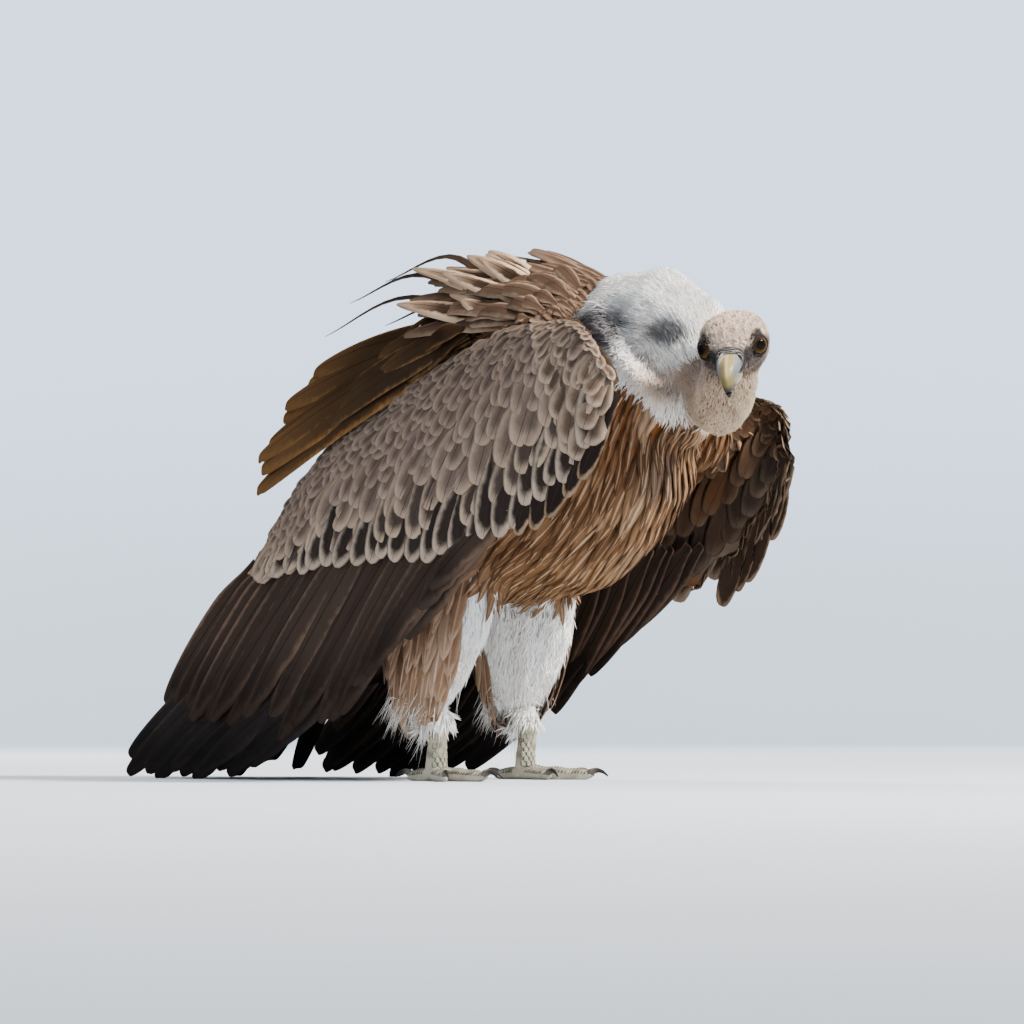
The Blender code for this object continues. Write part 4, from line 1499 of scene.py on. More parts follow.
    # -- feathers of the body --
    def body_feathers(self) -> None:
        """Lay the pointed feathers of the breast, belly, flanks and back."""
        t = np.array((0, 0.14, 0.3, 0.48, 0.66, 0.82, 0.93, 1.0))
        plumage = Plumage("body_feathers", Master(6, t), FeatherFinish("body_feather", 300.0, 0.55),
                          "breast_feather")
        places, points, normals, depth = self.spaced(
            0.0088, self.scatter((Zone.TRUNK, Zone.SHOULDER), 0.0035),
            self.scatter((Zone.RUFF,), 0.0035, lambda p, _: bib(p)))
        rng, n = self.rng, len(places)
        ahead, up = places[:, 0], places[:, 2]
        back = ease(0.36, 0.41, up) * ease(0.17, 0.10, ahead)
        back = np.maximum(back, ease(0.0, -0.05, ahead) * ease(0.20, 0.25, up))
        ways = unit(self.body_way(places) + rng.normal(size=(n, 3)) * 0.07)
        length = (0.052 + 0.020 * ease(0.30, 0.18, up)) * rng.uniform(0.8, 1.15, n)
        length = length * (1 - 0.35 * ease(0.30, 0.36, up) * (1 - back))
        length = length * (1 - 0.62 * ease(0.235, 0.180, up))
        wide = length * (0.125 + 0.09 * back) * rng.uniform(0.85, 1.15, n)
        spines, raised = self.trace(points, ways, normals, length, t, depth * 0.9,
                                    rng.uniform(-0.0006, 0.0012, n))
        side = wide[:, None] * vane_width(t, 0.3, 0.42, 0.06, 0.9)
        splits = 1 - rng.random((n, len(t))) * 0.18 * (t > 0.4)
        plumage.lay(spines, raised, side * splits, side * splits[::-1], 0.00032 * (1 - 0.6 * t), 0.11,
                    *self.body_colours(places, back), self.skin.bake_places(points))
        plumage.join()

    def body_colours(self, places: np.ndarray, back: np.ndarray) -> tuple:
        """Colour the body's feathers: rufous with cream streaks below, grey-brown above.

        Args:
            places: their roots as (ahead, right, up).
            back: how far each belongs to the back.

        Returns:
            Core, rim and shaft colours, and the marks.
        """
        rng, n = self.rng, len(places)
        ahead, out, up = places[:, 0], np.abs(places[:, 1]), places[:, 2]
        patch = mottle(places, 0.035, 21)
        cream = 0.5 * ease(0.350, 0.375, up) * ease(0.20, 0.235, ahead) * ease(0.075, 0.06, out)
        core = painted(
            (128, 93, 65), ((92, 64, 44), ease(-0.2, 1.0, patch)), ((158, 125, 96), ease(0.2, 1.1, -patch)),
            ((130, 95, 63), 0.6 * ease(0.27, 0.21, up)),
            ((148, 112, 88), 0.7 * ease(0.13, 0.05, ahead) * ease(0.04, 0.08, out)),
            ((122, 72, 34), 0.75 * near(places, (0.215, 0.085, 0.385), (0.035, 0.03, 0.045))),
            ((164, 144, 130), 0.6 * near(places, (0.215, 0.015, 0.335), (0.03, 0.025, 0.022))),
            ((206, 180, 148), cream), ((108, 84, 66), back))
        core = core * rng.uniform(0.80, 0.97, (n, 1))
        pale = rng.random(n)
        shaft = painted(core, ((208, 175, 140), (0.10 + 0.50 * pale) * (1 - back)),
                        ((52, 40, 34), back * 0.6))
        marks = np.stack((np.full(n, 0.80), np.full(n, 0.20), 0.12 + 0.22 * pale * (1 - back)), 1)
        return core, painted(core * 0.98, ((158, 132, 110), back * 0.7)), shaft, marks

    # -- thighs --
    def thigh_feathers(self) -> None:
        """Hang brown feathers on the outside and back of the thighs, over white down."""
        t = np.array((0, 0.18, 0.38, 0.6, 0.8, 0.93, 1.0))
        plumage = Plumage("thigh_feathers", Master(6, t), FeatherFinish("thigh_feather", 300.0, 0.5),
                          "breast_feather")

        def brown(p: np.ndarray, _: np.ndarray) -> np.ndarray:
            """Keep the roots on the brown side of each thigh."""
            return thigh_brown(p) * ease(0.105, 0.135, p[:, 2])

        places, points, normals, depth = self.spaced(0.0115, self.scatter((Zone.THIGH,), 0.0042, brown))
        rng, n = self.rng, len(places)
        ways = unit(lie((-0.16, 0, -1.0)) + rng.normal(size=(n, 3)) * 0.05)
        length = rng.uniform(0.070, 0.098, n)
        wide = length * rng.uniform(0.090, 0.125, n)
        spines, raised = self.trace(points, ways, normals, length, t, depth * 0.8,
                                    rng.uniform(0.0, 0.0025, n), 0.12)
        spines[..., 2] = np.maximum(spines[..., 2], 0.045 + rng.uniform(0, 0.02, (n, 1)))
        side = wide[:, None] * vane_width(t, 0.3, 0.5, 0.10, 0.7)
        core = painted((128, 98, 76), ((98, 72, 54), rng.random(n) * 0.7),
                       ((164, 138, 116), 0.5 * ease(0.7, 1, rng.random(n))))
        shaft = painted(core, ((204, 178, 154), 0.2 + 0.5 * rng.random(n)))
        plumage.lay(spines, raised, side, side, 0.0004 * (1 - 0.6 * t), 0.16, core,
                    painted(core, ((196, 168, 142), 0.4)), shaft, (0.72, 0.28, 0.14),
                    self.skin.bake_places(points))
        plumage.join()

    # -- down --
    def down(self, name: str, zone: Zone, spacing: float, length: float, wide: float,
             tone: Callable[[np.ndarray, np.ndarray], np.ndarray],
             way: Callable[[np.ndarray, np.ndarray], np.ndarray], finish: DownFinish, lift: float,
             loose: float, wanted: Callable | None = None, slot: str = "white_down",
             root: float = 0.9) -> None:
        """Cover part of the skin with short curved locks.

        Args:
            name: the piece's name.
            zone: where it grows.
            spacing: the distance between locks.
            length: the usual length of a lock.
            wide: half width of a lock.
            tone: colours from places and frame points.
            way: the lie of the down from places and frame points.
            finish: the down's finish.
            lift: the angle that the locks stand off at, in radians.
            loose: how far they stray from their lie.
            wanted: share of the roots to keep.
            slot: the record's material slot.
            root: how deep the roots go, as a share of the coat's depth.
        """
        t = np.array((0, 0.5, 1.0))
        plumage = Plumage(name, Master(3, t), finish, slot)
        places, points, normals, depth = self.scatter((zone,), spacing, wanted)
        rng, n = self.rng, len(places)
        ways = way(places, points) + rng.normal(size=(n, 3)) * loose
        ways = unit(ways - normals * (ways * normals).sum(1, keepdims=True))
        size = length * rng.uniform(0.6, 1.35, n)
        lifts = lift * rng.uniform(0.6, 1.4, n)
        roots = points - normals * (depth * root)[:, None]
        spines, raised = sweep(roots, ways, normals, size, t, lifts, lifts * rng.uniform(0.6, 1.8, n),
                               rng.normal(size=n) * loose * 1.4)
        side = wide * rng.uniform(0.7, 1.3, n)[:, None] * np.interp(t, (0, 0.45, 1), (0.75, 1.0, 0.08))
        plumage.lay(spines, raised, side, side, side * 0.5, 0.2, tone(places, points),
                    places=self.skin.bake_places(roots))
        plumage.join()

    def all_down(self) -> None:
        """Grow the down of the head, neck, collar and thighs."""
        rng = self.rng

        def white(p: np.ndarray, _: np.ndarray) -> np.ndarray:
            """White down, faintly warm."""
            warm = ease(-0.3, 1.0, mottle(p, 0.02, 41)) * 0.5
            return painted((254, 252, 248), ((236, 226, 216), warm), ((88, 84, 85), 0.95 * slate(p)))

        def collar(p: np.ndarray, x: np.ndarray) -> np.ndarray:
            """White above, tawny where it meets the breast."""
            tawny = ease(0.378, 0.352, p[:, 2]) * (0.35 + 0.6 * rng.random(len(p)))
            # the hollow's warm tan is painted shade of the crease
            return painted(white(p, x), ((206, 160, 108), tawny), ((214, 180, 146), 0.75 * hollow(p)),
                           ((88, 84, 85), 0.95 * slate(p)))

        def neck_tone(p: np.ndarray, _: np.ndarray) -> np.ndarray:
            """Cream down with darker strands."""
            strands = ease(-0.1, 0.9, mottle(p, 0.009, 42)) * 0.45
            # the hollow's tan is painted shade of the crease
            return painted((206, 182, 154), ((172, 150, 138), ease(0.385, 0.42, p[:, 2])),
                           ((206, 174, 142), 0.6 * hollow(p)), ((156, 134, 116), strands))

        def thigh_tone(p: np.ndarray, x: np.ndarray) -> np.ndarray:
            """White in front and inside, brown under the hanging feathers."""
            brown = thigh_brown(p) * 0.85 * ease(0.07, 0.09, p[:, 2])
            return painted(white(p, x), ((170, 132, 100), brown))

        def outward(p: np.ndarray, _: np.ndarray) -> np.ndarray:
            """Out of the collar's ring, then down and back."""
            return lie(unit(p - np.array((0.200, 0.0, 0.440))) * 0.9 + np.array((-0.35, 0, -0.45)))

        def hanging(p: np.ndarray, _: np.ndarray) -> np.ndarray:
            """Straight down, a little back."""
            return lie(np.broadcast_to((-0.12, 0, -1.0), p.shape))

        def head_way(_: np.ndarray, x: np.ndarray) -> np.ndarray:
            """Back from the bill, and down over the throat."""
            drop = ease(-0.005, -0.03, HEAD.into(x)[:, 2])
            return np.stack((-np.ones(len(x)), np.zeros(len(x)), -0.9 * drop), 1) @ HEAD.turned.T

        def head_tone(_: np.ndarray, x: np.ndarray) -> np.ndarray:
            """The head's markings and painted brow shade, each lock a little lighter or darker."""
            return HeadTones().at(HEAD.into(x)) * rng.uniform(0.72, 1.14, (len(x), 1))

        def off_bare(p: np.ndarray, _: np.ndarray) -> np.ndarray:
            """Thin the down over the slate-coloured bare patches."""
            return 1 - 0.35 * slate(p)

        def off_breast(p: np.ndarray, n: np.ndarray) -> np.ndarray:
            """Leave the collar's outer lower part to the rufous feathers."""
            return off_bare(p, n) * (1 - bib(p))

        def off_face(p: np.ndarray, _: np.ndarray) -> np.ndarray:
            """Keep the down off the eyes, the lores and the root of the bill."""
            local = mirrored(HEAD.into(row(p)))
            gap = local - HEAD.eye_centre(LEFT)
            angle = np.degrees(np.arccos(np.clip(unit(gap) @ HEAD.eye_look(LEFT), -1, 1)))
            keep = np.where(np.linalg.norm(gap, axis=1) < 0.02, ease(60, 76, angle), 1.0)
            return keep * ease(0.0235, 0.0195, local[:, 0])

        def off_bend(p: np.ndarray, _: np.ndarray) -> np.ndarray:
            """Sparser on the inner bend of the neck."""
            return 0.8 + 0.2 * ease(0.385, 0.365, p[:, 2])

        self.down("dome_down", Zone.NECK, 0.00136, 0.0105, 0.00054, white, self.along_neck,
                  DownFinish("dome_finish", 1.0, 0.86), 0.30, 0.15, off_bare)
        self.down("collar_down", Zone.RUFF, 0.0016, 0.0145, 0.00075, collar, outward,
                  DownFinish("collar_finish", 1.0, 0.82), 0.34, 0.22, off_breast)
        self.down("neck_down", Zone.FRONT, 0.00143, 0.0062, 0.00038, neck_tone, self.along_neck,
                  DownFinish("neck_finish", 1.0, 0.84, 0.9, 0.06), 0.25, 0.22, off_bend)
        self.down("head_down", Zone.HEAD, 0.00095, 0.0040, 0.00032, head_tone, head_way,
                  DownFinish("head_down_finish", 1.05, 0.80, 0.9, 0.04), 0.26, 0.22, off_face,
                  "face_down", 0.95)
        self.down("thigh_down", Zone.THIGH, 0.00226, 0.0150, 0.0010, thigh_tone, hanging,
                  DownFinish("thigh_down_finish", 1.0, 0.86), 0.24, 0.20)
        self.fringe()

    def fringe(self) -> None:
        """Hang long thin white wisps from the lower edge of each thigh."""
        t = np.array((0, 0.35, 0.7, 1.0))
        plumage = Plumage("thigh_fringe", Master(3, t), DownFinish("fringe_finish", 1.0, 0.9), "white_down")

        def low(p: np.ndarray, _: np.ndarray) -> np.ndarray:
            """Keep the lower back and outer edge of the thigh."""
            return ease(0.105, 0.085, p[:, 2]) * (0.04 + 0.96 * thigh_brown(p))

        _, points, normals, depth = self.scatter((Zone.THIGH,), 0.0032, low)
        rng, n = self.rng, len(points)
        ways = unit(lie((-0.30, 0, -1.0)) + rng.normal(size=(n, 3)) * 0.16)
        size = rng.uniform(0.014, 0.040, n)
        spines, raised = sweep(points - normals * (depth * 0.6)[:, None], ways, normals, size, t,
                               rng.uniform(-0.1, 0.35, n), rng.uniform(0, 0.4, n), rng.normal(size=n) * 0.25)
        side = 0.00045 * np.interp(t, (0, 0.4, 1), (1.0, 0.9, 0.1))
        plumage.lay(spines, raised, side, side, side * 0.6, 0.1,
                    srgb(238, 230, 220) * rng.uniform(0.7, 1, (n, 1)), places=self.skin.bake_places(points))
        plumage.join()

    def build(self) -> None:
        """Grow the whole coat."""
        self.body_feathers()
        self.thigh_feathers()
        self.all_down()


# ---- wings --------------------------------------------------------------------------------------
@dataclass(frozen=True)
class WingPlan:
    """One wing's lines, each running from the wrist toward the tail, as (ahead, out, up)."""

    arm_upper: tuple
    arm_lower: tuple
    secondary_roots: tuple
    secondary_tips: tuple
    primary_roots: tuple
    primary_tips: tuple


WING_PLANS = {
    RIGHT: WingPlan(
        arm_upper=((0.195, 0.148, 0.458), (0.130, 0.138, 0.456), (0.050, 0.124, 0.432),
                   (-0.060, 0.106, 0.385), (-0.160, 0.091, 0.325), (-0.250, 0.076, 0.216)),
        arm_lower=((0.277, 0.192, 0.385), (0.250, 0.190, 0.325), (0.165, 0.176, 0.262),
                   (0.070, 0.160, 0.228), (-0.070, 0.136, 0.224), (-0.215, 0.108, 0.208)),
        secondary_roots=((0.175, 0.160, 0.300), (0.070, 0.142, 0.290), (-0.080, 0.120, 0.270),
                         (-0.252, 0.074, 0.226)),
        secondary_tips=((0.062, 0.160, 0.215), (-0.040, 0.142, 0.122), (-0.115, 0.128, 0.058),
                        (-0.215, 0.111, 0.056), (-0.300, 0.097, 0.066), (-0.382, 0.061, 0.078)),
        primary_roots=((0.000, 0.128, 0.165), (-0.120, 0.104, 0.150), (-0.290, 0.068, 0.135)),
        primary_tips=((-0.205, 0.112, 0.016), (-0.270, 0.102, 0.004), (-0.335, 0.094, 0.004),
                      (-0.392, 0.084, 0.004), (-0.424, 0.064, 0.024)),
    ),
    LEFT: WingPlan(
        arm_upper=((0.190, 0.150, 0.402), (0.120, 0.146, 0.412), (0.045, 0.132, 0.398),
                   (-0.050, 0.120, 0.356), (-0.140, 0.112, 0.296), (-0.215, 0.110, 0.205)),
        arm_lower=((0.249, 0.190, 0.345), (0.229, 0.190, 0.280), (0.166, 0.184, 0.208),
                   (0.070, 0.176, 0.182), (-0.055, 0.166, 0.182), (-0.190, 0.152, 0.180)),
        secondary_roots=((0.175, 0.160, 0.245), (0.070, 0.144, 0.240), (-0.060, 0.132, 0.226),
                         (-0.180, 0.122, 0.195)),
        secondary_tips=((0.065, 0.172, 0.158), (-0.008, 0.166, 0.098), (-0.070, 0.162, 0.052),
                        (-0.160, 0.156, 0.046), (-0.240, 0.146, 0.050), (-0.305, 0.128, 0.056)),
        primary_roots=((0.030, 0.154, 0.125), (-0.090, 0.142, 0.118), (-0.235, 0.124, 0.110)),
        primary_tips=((-0.130, 0.158, 0.014), (-0.195, 0.160, 0.004), (-0.255, 0.158, 0.004),
                      (-0.305, 0.150, 0.004), (-0.332, 0.134, 0.016)),
    ),
}


@dataclass(frozen=True)
class CovertRow:
    """One row of coverts: where its tips run and what its feathers look like."""

    tips: float                  # place of the tips, from 0 at the wing's top edge to 1 at its lower edge
    length: float
    wide: float                  # half width
    core: tuple
    rim: tuple
    marks: Triple
    start: float = 0.0           # where the row begins and ends along the wing
    end: float = 1.0
    grow: float = 0.5            # how much longer its feathers get toward the tail
    rise: float = 0.0            # how far it stands above the rows under it
    shaft: tuple = (58, 46, 40)


def lesser_rows(count: int, first: float, last: float, core: tuple, rim: tuple) -> list[CovertRow]:
    """Lay out rows of small coverts that grow from one to the next.

    Args:
        count: how many rows.
        first: where the first row's tips run.
        last: where the last row's tips run.
        core: the colour of their middle.
        rim: the colour of their rim.

    Returns:
        The rows, from the top edge down.
    """
    return [CovertRow(first + (last - first) * share**1.15, 0.027 + 0.034 * share, 0.0074 + 0.0070 * share,
                      core, rim, (0.60, 0.60, 0.035), grow=-0.15)
            for share in (k / (count - 1) for k in range(count))]


OUTER_ROWS = lesser_rows(8, 0.045, 0.50, (90, 75, 66), (140, 120, 105)) + [
    CovertRow(0.600, 0.080, 0.0180, (94, 80, 70), (150, 129, 112), (0.66, 0.52, 0.03), 0.06, grow=-0.35),
    CovertRow(0.735, 0.090, 0.0195, (92, 78, 69), (160, 137, 118), (0.66, 0.52, 0.03), 0.10, grow=-0.35),
    CovertRow(0.870, 0.096, 0.0175, (60, 51, 46), (164, 142, 122), (0.70, 0.36, 0.03), 0.15, 1.0, -0.2),
    CovertRow(1.000, 0.106, 0.0155, (42, 36, 33), (162, 143, 126), (0.72, 0.30, 0.03), 0.19, 1.0, -0.1),
]
FRONT_QUILLS = CovertRow(1.09, 0.110, 0.0135, (36, 30, 27), (138, 114, 92), (0.90, 0.14, 0.03),
                         0.24, 0.42, 0.0)
FRONT_SCALES = [CovertRow(0.04 + 0.060 * k, 0.028 + 0.0016 * k, 0.0098 + 0.0004 * k, (80, 66, 56),
                          (158, 136, 117), (0.56, 0.40, 0.03), max(-0.03, 0.014 - 0.007 * k),
                          0.13 + 0.007 * k, 0.0, rise=0.0018)
                for k in range(17)]
INNER_ROWS = lesser_rows(9, 0.03, 0.54, (66, 50, 38), (92, 70, 52)) + [
    CovertRow(0.62, 0.062, 0.0130, (66, 48, 35), (92, 70, 52), (0.7, 0.4, 0.05), 0.0, 1.0, 0.3),
    CovertRow(0.76, 0.070, 0.0140, (58, 44, 34), (84, 66, 52), (0.7, 0.4, 0.05), 0.0, 1.0, 0.2),
    CovertRow(0.92, 0.082, 0.0150, (48, 39, 34), (74, 62, 52), (0.7, 0.35, 0.05), 0.0, 1.0, 0.2),
]


@dataclass
class Wing:
    """One folded wing: rows of coverts on both faces, secondaries and primaries."""

    side: int
    skin: Skin
    bulge: float = 0.016
    thick: float = 0.016
    roll: float = 0.022
    edge_radius: float = 0.012
    wrist_radius: float = 0.013
    secondaries: int = 20
    primaries: int = 10

    def __post_init__(self) -> None:
        """Take the side's plan and seed."""
        self.plan = WING_PLANS[self.side]
        self.rng = np.random.default_rng(50 + self.side)

    @property
    def name(self) -> str:
        """The side's name."""
        return SIDE_NAMES[self.side]

    def edge(self, line: tuple, u: np.ndarray) -> np.ndarray:
        """Read one of the arm's edges, rolled inward round its front end where u is below 0.

        Args:
            line: the edge, from the wrist toward the tail.
            u: where to read it, as a share of its length.

        Returns:
            Places as (ahead, out, up).
        """
        step = (curve(line, np.full(u.shape, 0.02)) - curve(line, np.zeros(u.shape))) / 0.02
        size = np.linalg.norm(step, axis=-1, keepdims=True)
        angle = -np.minimum(u, 0.0)[..., None] * size / self.wrist_radius
        bend = step / size * np.sin(angle) + (1 - np.cos(angle)) * (0, 1.0, 0)
        return curve(line, u) - self.wrist_radius * bend

    def surface(self, u: np.ndarray, v: np.ndarray, inner: bool) -> np.ndarray:
        """Read the arm's outer or inner face.

        Args:
            u: share of the way from the wrist to the tail.
            v: share of the way from the top edge to the lower one.
            inner: whether the face toward the body is meant.

        Returns:
            Places as (ahead, out, up).
        """
        upper, lower = self.edge(self.plan.arm_upper, u), self.edge(self.plan.arm_lower, u)
        swell = (self.bulge * (2 - u) * 4 * np.minimum(1, 0.3 + 2.5 * (1 - u)))[..., None]
        swell = swell * unit(np.array((0.35, 1.0, 0.45)))
        slope = np.clip(v, 0, 1) + 0.35 * np.maximum(v - 1, 0)
        point = upper + (lower - upper) * np.maximum(v, 0)[..., None]
        point = point + swell * (slope * (1 - slope))[..., None]
        down = lower - upper + swell
        size = np.linalg.norm(down, axis=-1, keepdims=True)
        down = down / size
        angle = -np.minimum(v, 0)[..., None] * size / self.edge_radius
        over = unit((0, 1.0, 0) - down * down[..., 1:2])
        point = point - self.edge_radius * (down * np.sin(angle) + over * (1 - np.cos(angle)))
        if not inner:
            return point
        across = np.sin(math.pi * np.clip(v * 0.92 + 0.04, 0, 1)) ** 0.6
        ends = np.minimum(1, 0.35 + 4 * u) * np.minimum(1, 0.3 + 3 * (1 - u))
        flesh = self.thick * (1 - 0.75 * np.minimum(slope, 1) ** 4)
        flesh = (flesh + self.roll * np.clip(1 - u, 0, 1) ** 1.5) * across * ends
        return point - (0.0025 + flesh)[..., None] * unit(np.array((0.25, 1.0, 0.15)))

    def lie_at(self, u: np.ndarray, v: np.ndarray) -> np.ndarray:
        """Give the way the coverts point, as (ahead, out, up).

        Args:
            u: shares of the way from the wrist toward the tail.
            v: shares of the way from the upper edge to the lower.

        Returns:
            Unit directions.
        """
        line = np.array([(-0.45, 0, -0.88), (-0.36, 0, -0.93), (-0.40, 0, -0.91),
                         (-0.52, 0, -0.85), (-0.62, 0, -0.78)])
        way = curve(line, u)
        top = ease(0.35, 0.0, v) * ease(0.25, 0.5, u)
        return unit(way + (np.array((-0.90, 0, -0.45)) - way) * (0.8 * top)[..., None])

    def follow(self, u: np.ndarray, v: np.ndarray, length: np.ndarray, turn: np.ndarray,
               t: np.ndarray, inner: bool) -> tuple[np.ndarray, np.ndarray]:
        """Trace coverts back from their tips over the arm.

        Args:
            u: each tip's place along the wing.
            v: each tip's place across it.
            length: each feather's length.
            turn: an angle by which each strays from the lie.
            t: shares of the length.
            inner: which face they lie on.

        Returns:
            Spines and normals in the frame, root first.
        """
        eps = 0.004
        spine, ups = [], []
        for step in np.diff(t, prepend=0)[::-1].tolist() + [0.0]:
            here = self.surface(u, v, inner)
            du = (self.surface(u + eps, v, inner) - self.surface(u - eps, v, inner)) / (2 * eps)
            dv = (self.surface(u, v + eps, inner) - self.surface(u, v - eps, inner)) / (2 * eps)
            up = unit(np.cross(dv, du)) * (-1 if inner else 1)
            spine.append(here)
            ups.append(up)
            if len(spine) == len(t):
                break
            way = self.lie_at(u, v)
            side = np.cross(up, way)
            way = way * np.cos(turn)[:, None] + side * np.sin(turn)[:, None]
            way = unit(way - up * (way * up).sum(1, keepdims=True)) * (length * step)[:, None]
            aa, ab, bb = (du * du).sum(1), (du * dv).sum(1), (dv * dv).sum(1)
            wa, wb = (way * du).sum(1), (way * dv).sum(1)
            det = np.maximum(aa * bb - ab * ab, 1e-9)
            u = np.clip(u - (wa * bb - wb * ab) / det, -0.042, 1.02)
            v = np.clip(v - (wb * aa - wa * ab) / det, -0.10, 1.15)
        flip = np.array((1, self.side, 1))
        return row(np.stack(spine[::-1], 1) * flip), row(np.stack(ups[::-1], 1) * flip) - SPOT

    def coverts(self, inner: bool) -> None:
        """Lay all rows of one face, lowest first.

        Args:
            inner: lay the under face and not the upper one.
        """
        t = np.array((0, 0.25, 0.5, 0.68, 0.82, 0.92, 0.975, 1.0))
        face = "under" if inner else "upper"
        plumage = Plumage(f"{face}_coverts_{self.name}", Master(8, t),
                          FeatherFinish(f"{face}_covert_{self.name}", 380.0, 0.45), "covert_feather")
        rng = self.rng
        for plan in INNER_ROWS if inner else [FRONT_QUILLS] + OUTER_ROWS + FRONT_SCALES:
            fine = np.linspace(plan.start, plan.end, 200)
            line = self.surface(fine, np.full(200, plan.tips), inner)
            run = np.concatenate(([0], np.cumsum(np.linalg.norm(np.diff(line, axis=0), axis=1))))
            n = int(run[-1] / (plan.wide * 1.28))
            marks = np.linspace(0, run[-1], n) + rng.normal(size=n) * plan.wide * 0.22
            u = np.interp(marks, run, fine)
            v = np.full(n, plan.tips) + rng.normal(size=n) * 0.016
            bigger = (1 + plan.grow * (u - 0.35)) * rng.uniform(0.88, 1.14, n)
            small = ease(-0.03, 0.20, u) * 0.52 + 0.48
            length, wide = plan.length * bigger * small, plan.wide * (0.5 + 0.5 * bigger) * small
            spines, ups = self.follow(u, v, length, rng.normal(size=n) * 0.09, t, inner)
            lift = plan.rise - 0.0035 + (0.0048 + rng.uniform(-0.0006, 0.0018, n))[:, None] * t**0.9
            spines = spines + ups * lift[..., None]
            width = vane_width(t, 0.45, 0.55, 0.22, 0.5)
            tilt = rng.normal(size=n) * 0.13 - 0.10
            along = unit(np.gradient(spines, axis=1))
            ups = unit(ups + np.cross(along, ups) * tilt[:, None, None])
            splits = 1 - rng.random((n, len(t))) * 0.10
            core = srgb(*plan.core) * rng.uniform(0.82, 1.16, (n, 1))
            rim = srgb(*plan.rim) * rng.uniform(0.85, 1.1, (n, 1))
            core, rim = self.markings_and_far_shade(u, v, core, rim, inner, plan)
            plumage.lay(spines, ups, wide[:, None] * width * splits, wide[:, None] * width,
                        0.0004 * (1 - 0.55 * t), 0.17, core, rim, srgb(*plan.shaft), plan.marks,
                        self.skin.bake_places(spines[:, 0]))
        plumage.join()

    def markings_and_far_shade(self, u: np.ndarray, v: np.ndarray, core: np.ndarray, rim: np.ndarray, inner: bool,
                plan: CovertRow) -> tuple[np.ndarray, np.ndarray]:
        """Vary the coverts' colours over the wing: browner in front, white spots below, and painted shade on
        the far wing.

        Args:
            u: each tip's place along the wing.
            v: each tip's place across it.
            core: the feathers' middle colours.
            rim: their rims' colours.
            inner: which face they lie on.
            plan: their row.

        Returns:
            The new core and rim colours.
        """
        if inner:
            rufous = ease(0.0, 0.9, mottle(np.stack((u, v, v), 1) * 0.5, 0.05, 61))
            white = (self.rng.random(len(u)) < 0.05) & (v > 0.42) & (plan.wide < 0.0135)
            return (painted(core, ((96, 62, 38), rufous * 0.5), ((150, 134, 118), white * 0.6)),
                    painted(rim, ((206, 192, 176), white * 0.8)))
        # the far wing's upper coverts are darkened: painted shade over the same feathers as the near wing
        if self.side == LEFT:
            core, rim = painted(core, ((62, 48, 38), 0.6)), painted(rim, ((112, 88, 68), 0.6))
        core = painted(core, ((104, 86, 72), 0.7 * ease(0.28, 0.05, u) * (plan.tips < 0.95)))
        if plan.tips < 0.9:
            dark = ease(0.55, 1.0, self.rng.random(len(u))) * ease(0.5, 0.1, u)
            core = painted(core, ((66, 56, 52), 0.7 * dark))
        return core, rim

    def scales(self) -> None:
        """Cover the rounded front edge of the arm with small scale-like feathers."""
        t = np.array((0, 0.35, 0.6, 0.8, 0.93, 1.0))
        coat = Coat(self.skin, 90 + self.side)
        plumage = Plumage("edge_coverts_" + self.name, Master(6, t),
                          FeatherFinish("edge_covert_" + self.name, 300.0, 0.45), "covert_feather")

        def chosen(p: np.ndarray, n: np.ndarray) -> np.ndarray:
            """Keep the roots of this arm's rounded front edge."""
            mine = (p[:, 1] * self.side > 0) * ease(-0.5, -0.25, n[:, 2])
            mine = mine * ease(0.55, 0.30, -n[:, 1] * self.side)
            return mine * ease(0.0, 0.25, n[:, 0]) * ease(0.09, 0.13, p[:, 0])

        _, points, normals, depth = coat.spaced(0.0068, coat.scatter((Zone.ARM,), 0.0035, chosen))
        n, rng = len(points), self.rng
        ways = unit(lie((-0.38, 0.0, -0.92)) + rng.normal(size=(n, 3)) * 0.08)
        inner = ease(0.1, 0.5, -normals @ lie((0, self.side, 0)))
        length = (0.0165 + 0.006 * inner) * rng.uniform(0.85, 1.2, n)
        spines, raised = coat.trace(points, ways, normals, length, t, depth * 0.7,
                                    rng.uniform(0.0002, 0.0012, n))
        side = (length * (0.44 - 0.06 * inner))[:, None] * vane_width(t, 0.5, 0.5, 0.25, 0.5)
        # the far wing's edge scales take the darker under colours: painted shade
        inner = np.maximum(inner, 0.7 * (self.side == LEFT))
        core = painted((100, 82, 68), ((62, 46, 35), inner),
                       ((92, 60, 38), inner * (rng.random(n) < 0.4))) * rng.uniform(0.8, 1.2, (n, 1))
        plumage.lay(spines, raised, side, side, 0.0005 * (1 - 0.5 * t), 0.25, core,
                    painted((164, 142, 122), ((96, 74, 56), inner)), srgb(60, 46, 38),
                    (0.62, 0.26, 0.05), self.skin.bake_places(points))
        plumage.join()

    def quills(self) -> None:
        """Build the secondaries, and the primaries below them."""
        plan, out, name = self.plan, (0.10, 1.0, 0.10), self.name
        Fan("secondaries_" + name, plan.secondary_roots, plan.secondary_tips, self.secondaries, out,
            self.side, wide=0.0195, sag=0.006, core=(56, 45, 39), rim=(94, 76, 64), end=(38, 32, 29),
            seed=70 + self.side, hides=("secondaries_" + name,)).build()
        Fan("primaries_" + name, plan.primary_roots, plan.primary_tips, self.primaries, out,
            self.side, wide=0.0185, sag=0.004, core=(38, 34, 32), rim=(54, 48, 45), end=(28, 25, 25),
            seed=75 + self.side, hides=("primaries_" + name,)).build()

    def build(self) -> None:
        """Lay the wing's feathers from the deepest up."""
        self.quills()
        self.scales()
        self.coverts(True)
        self.coverts(False)


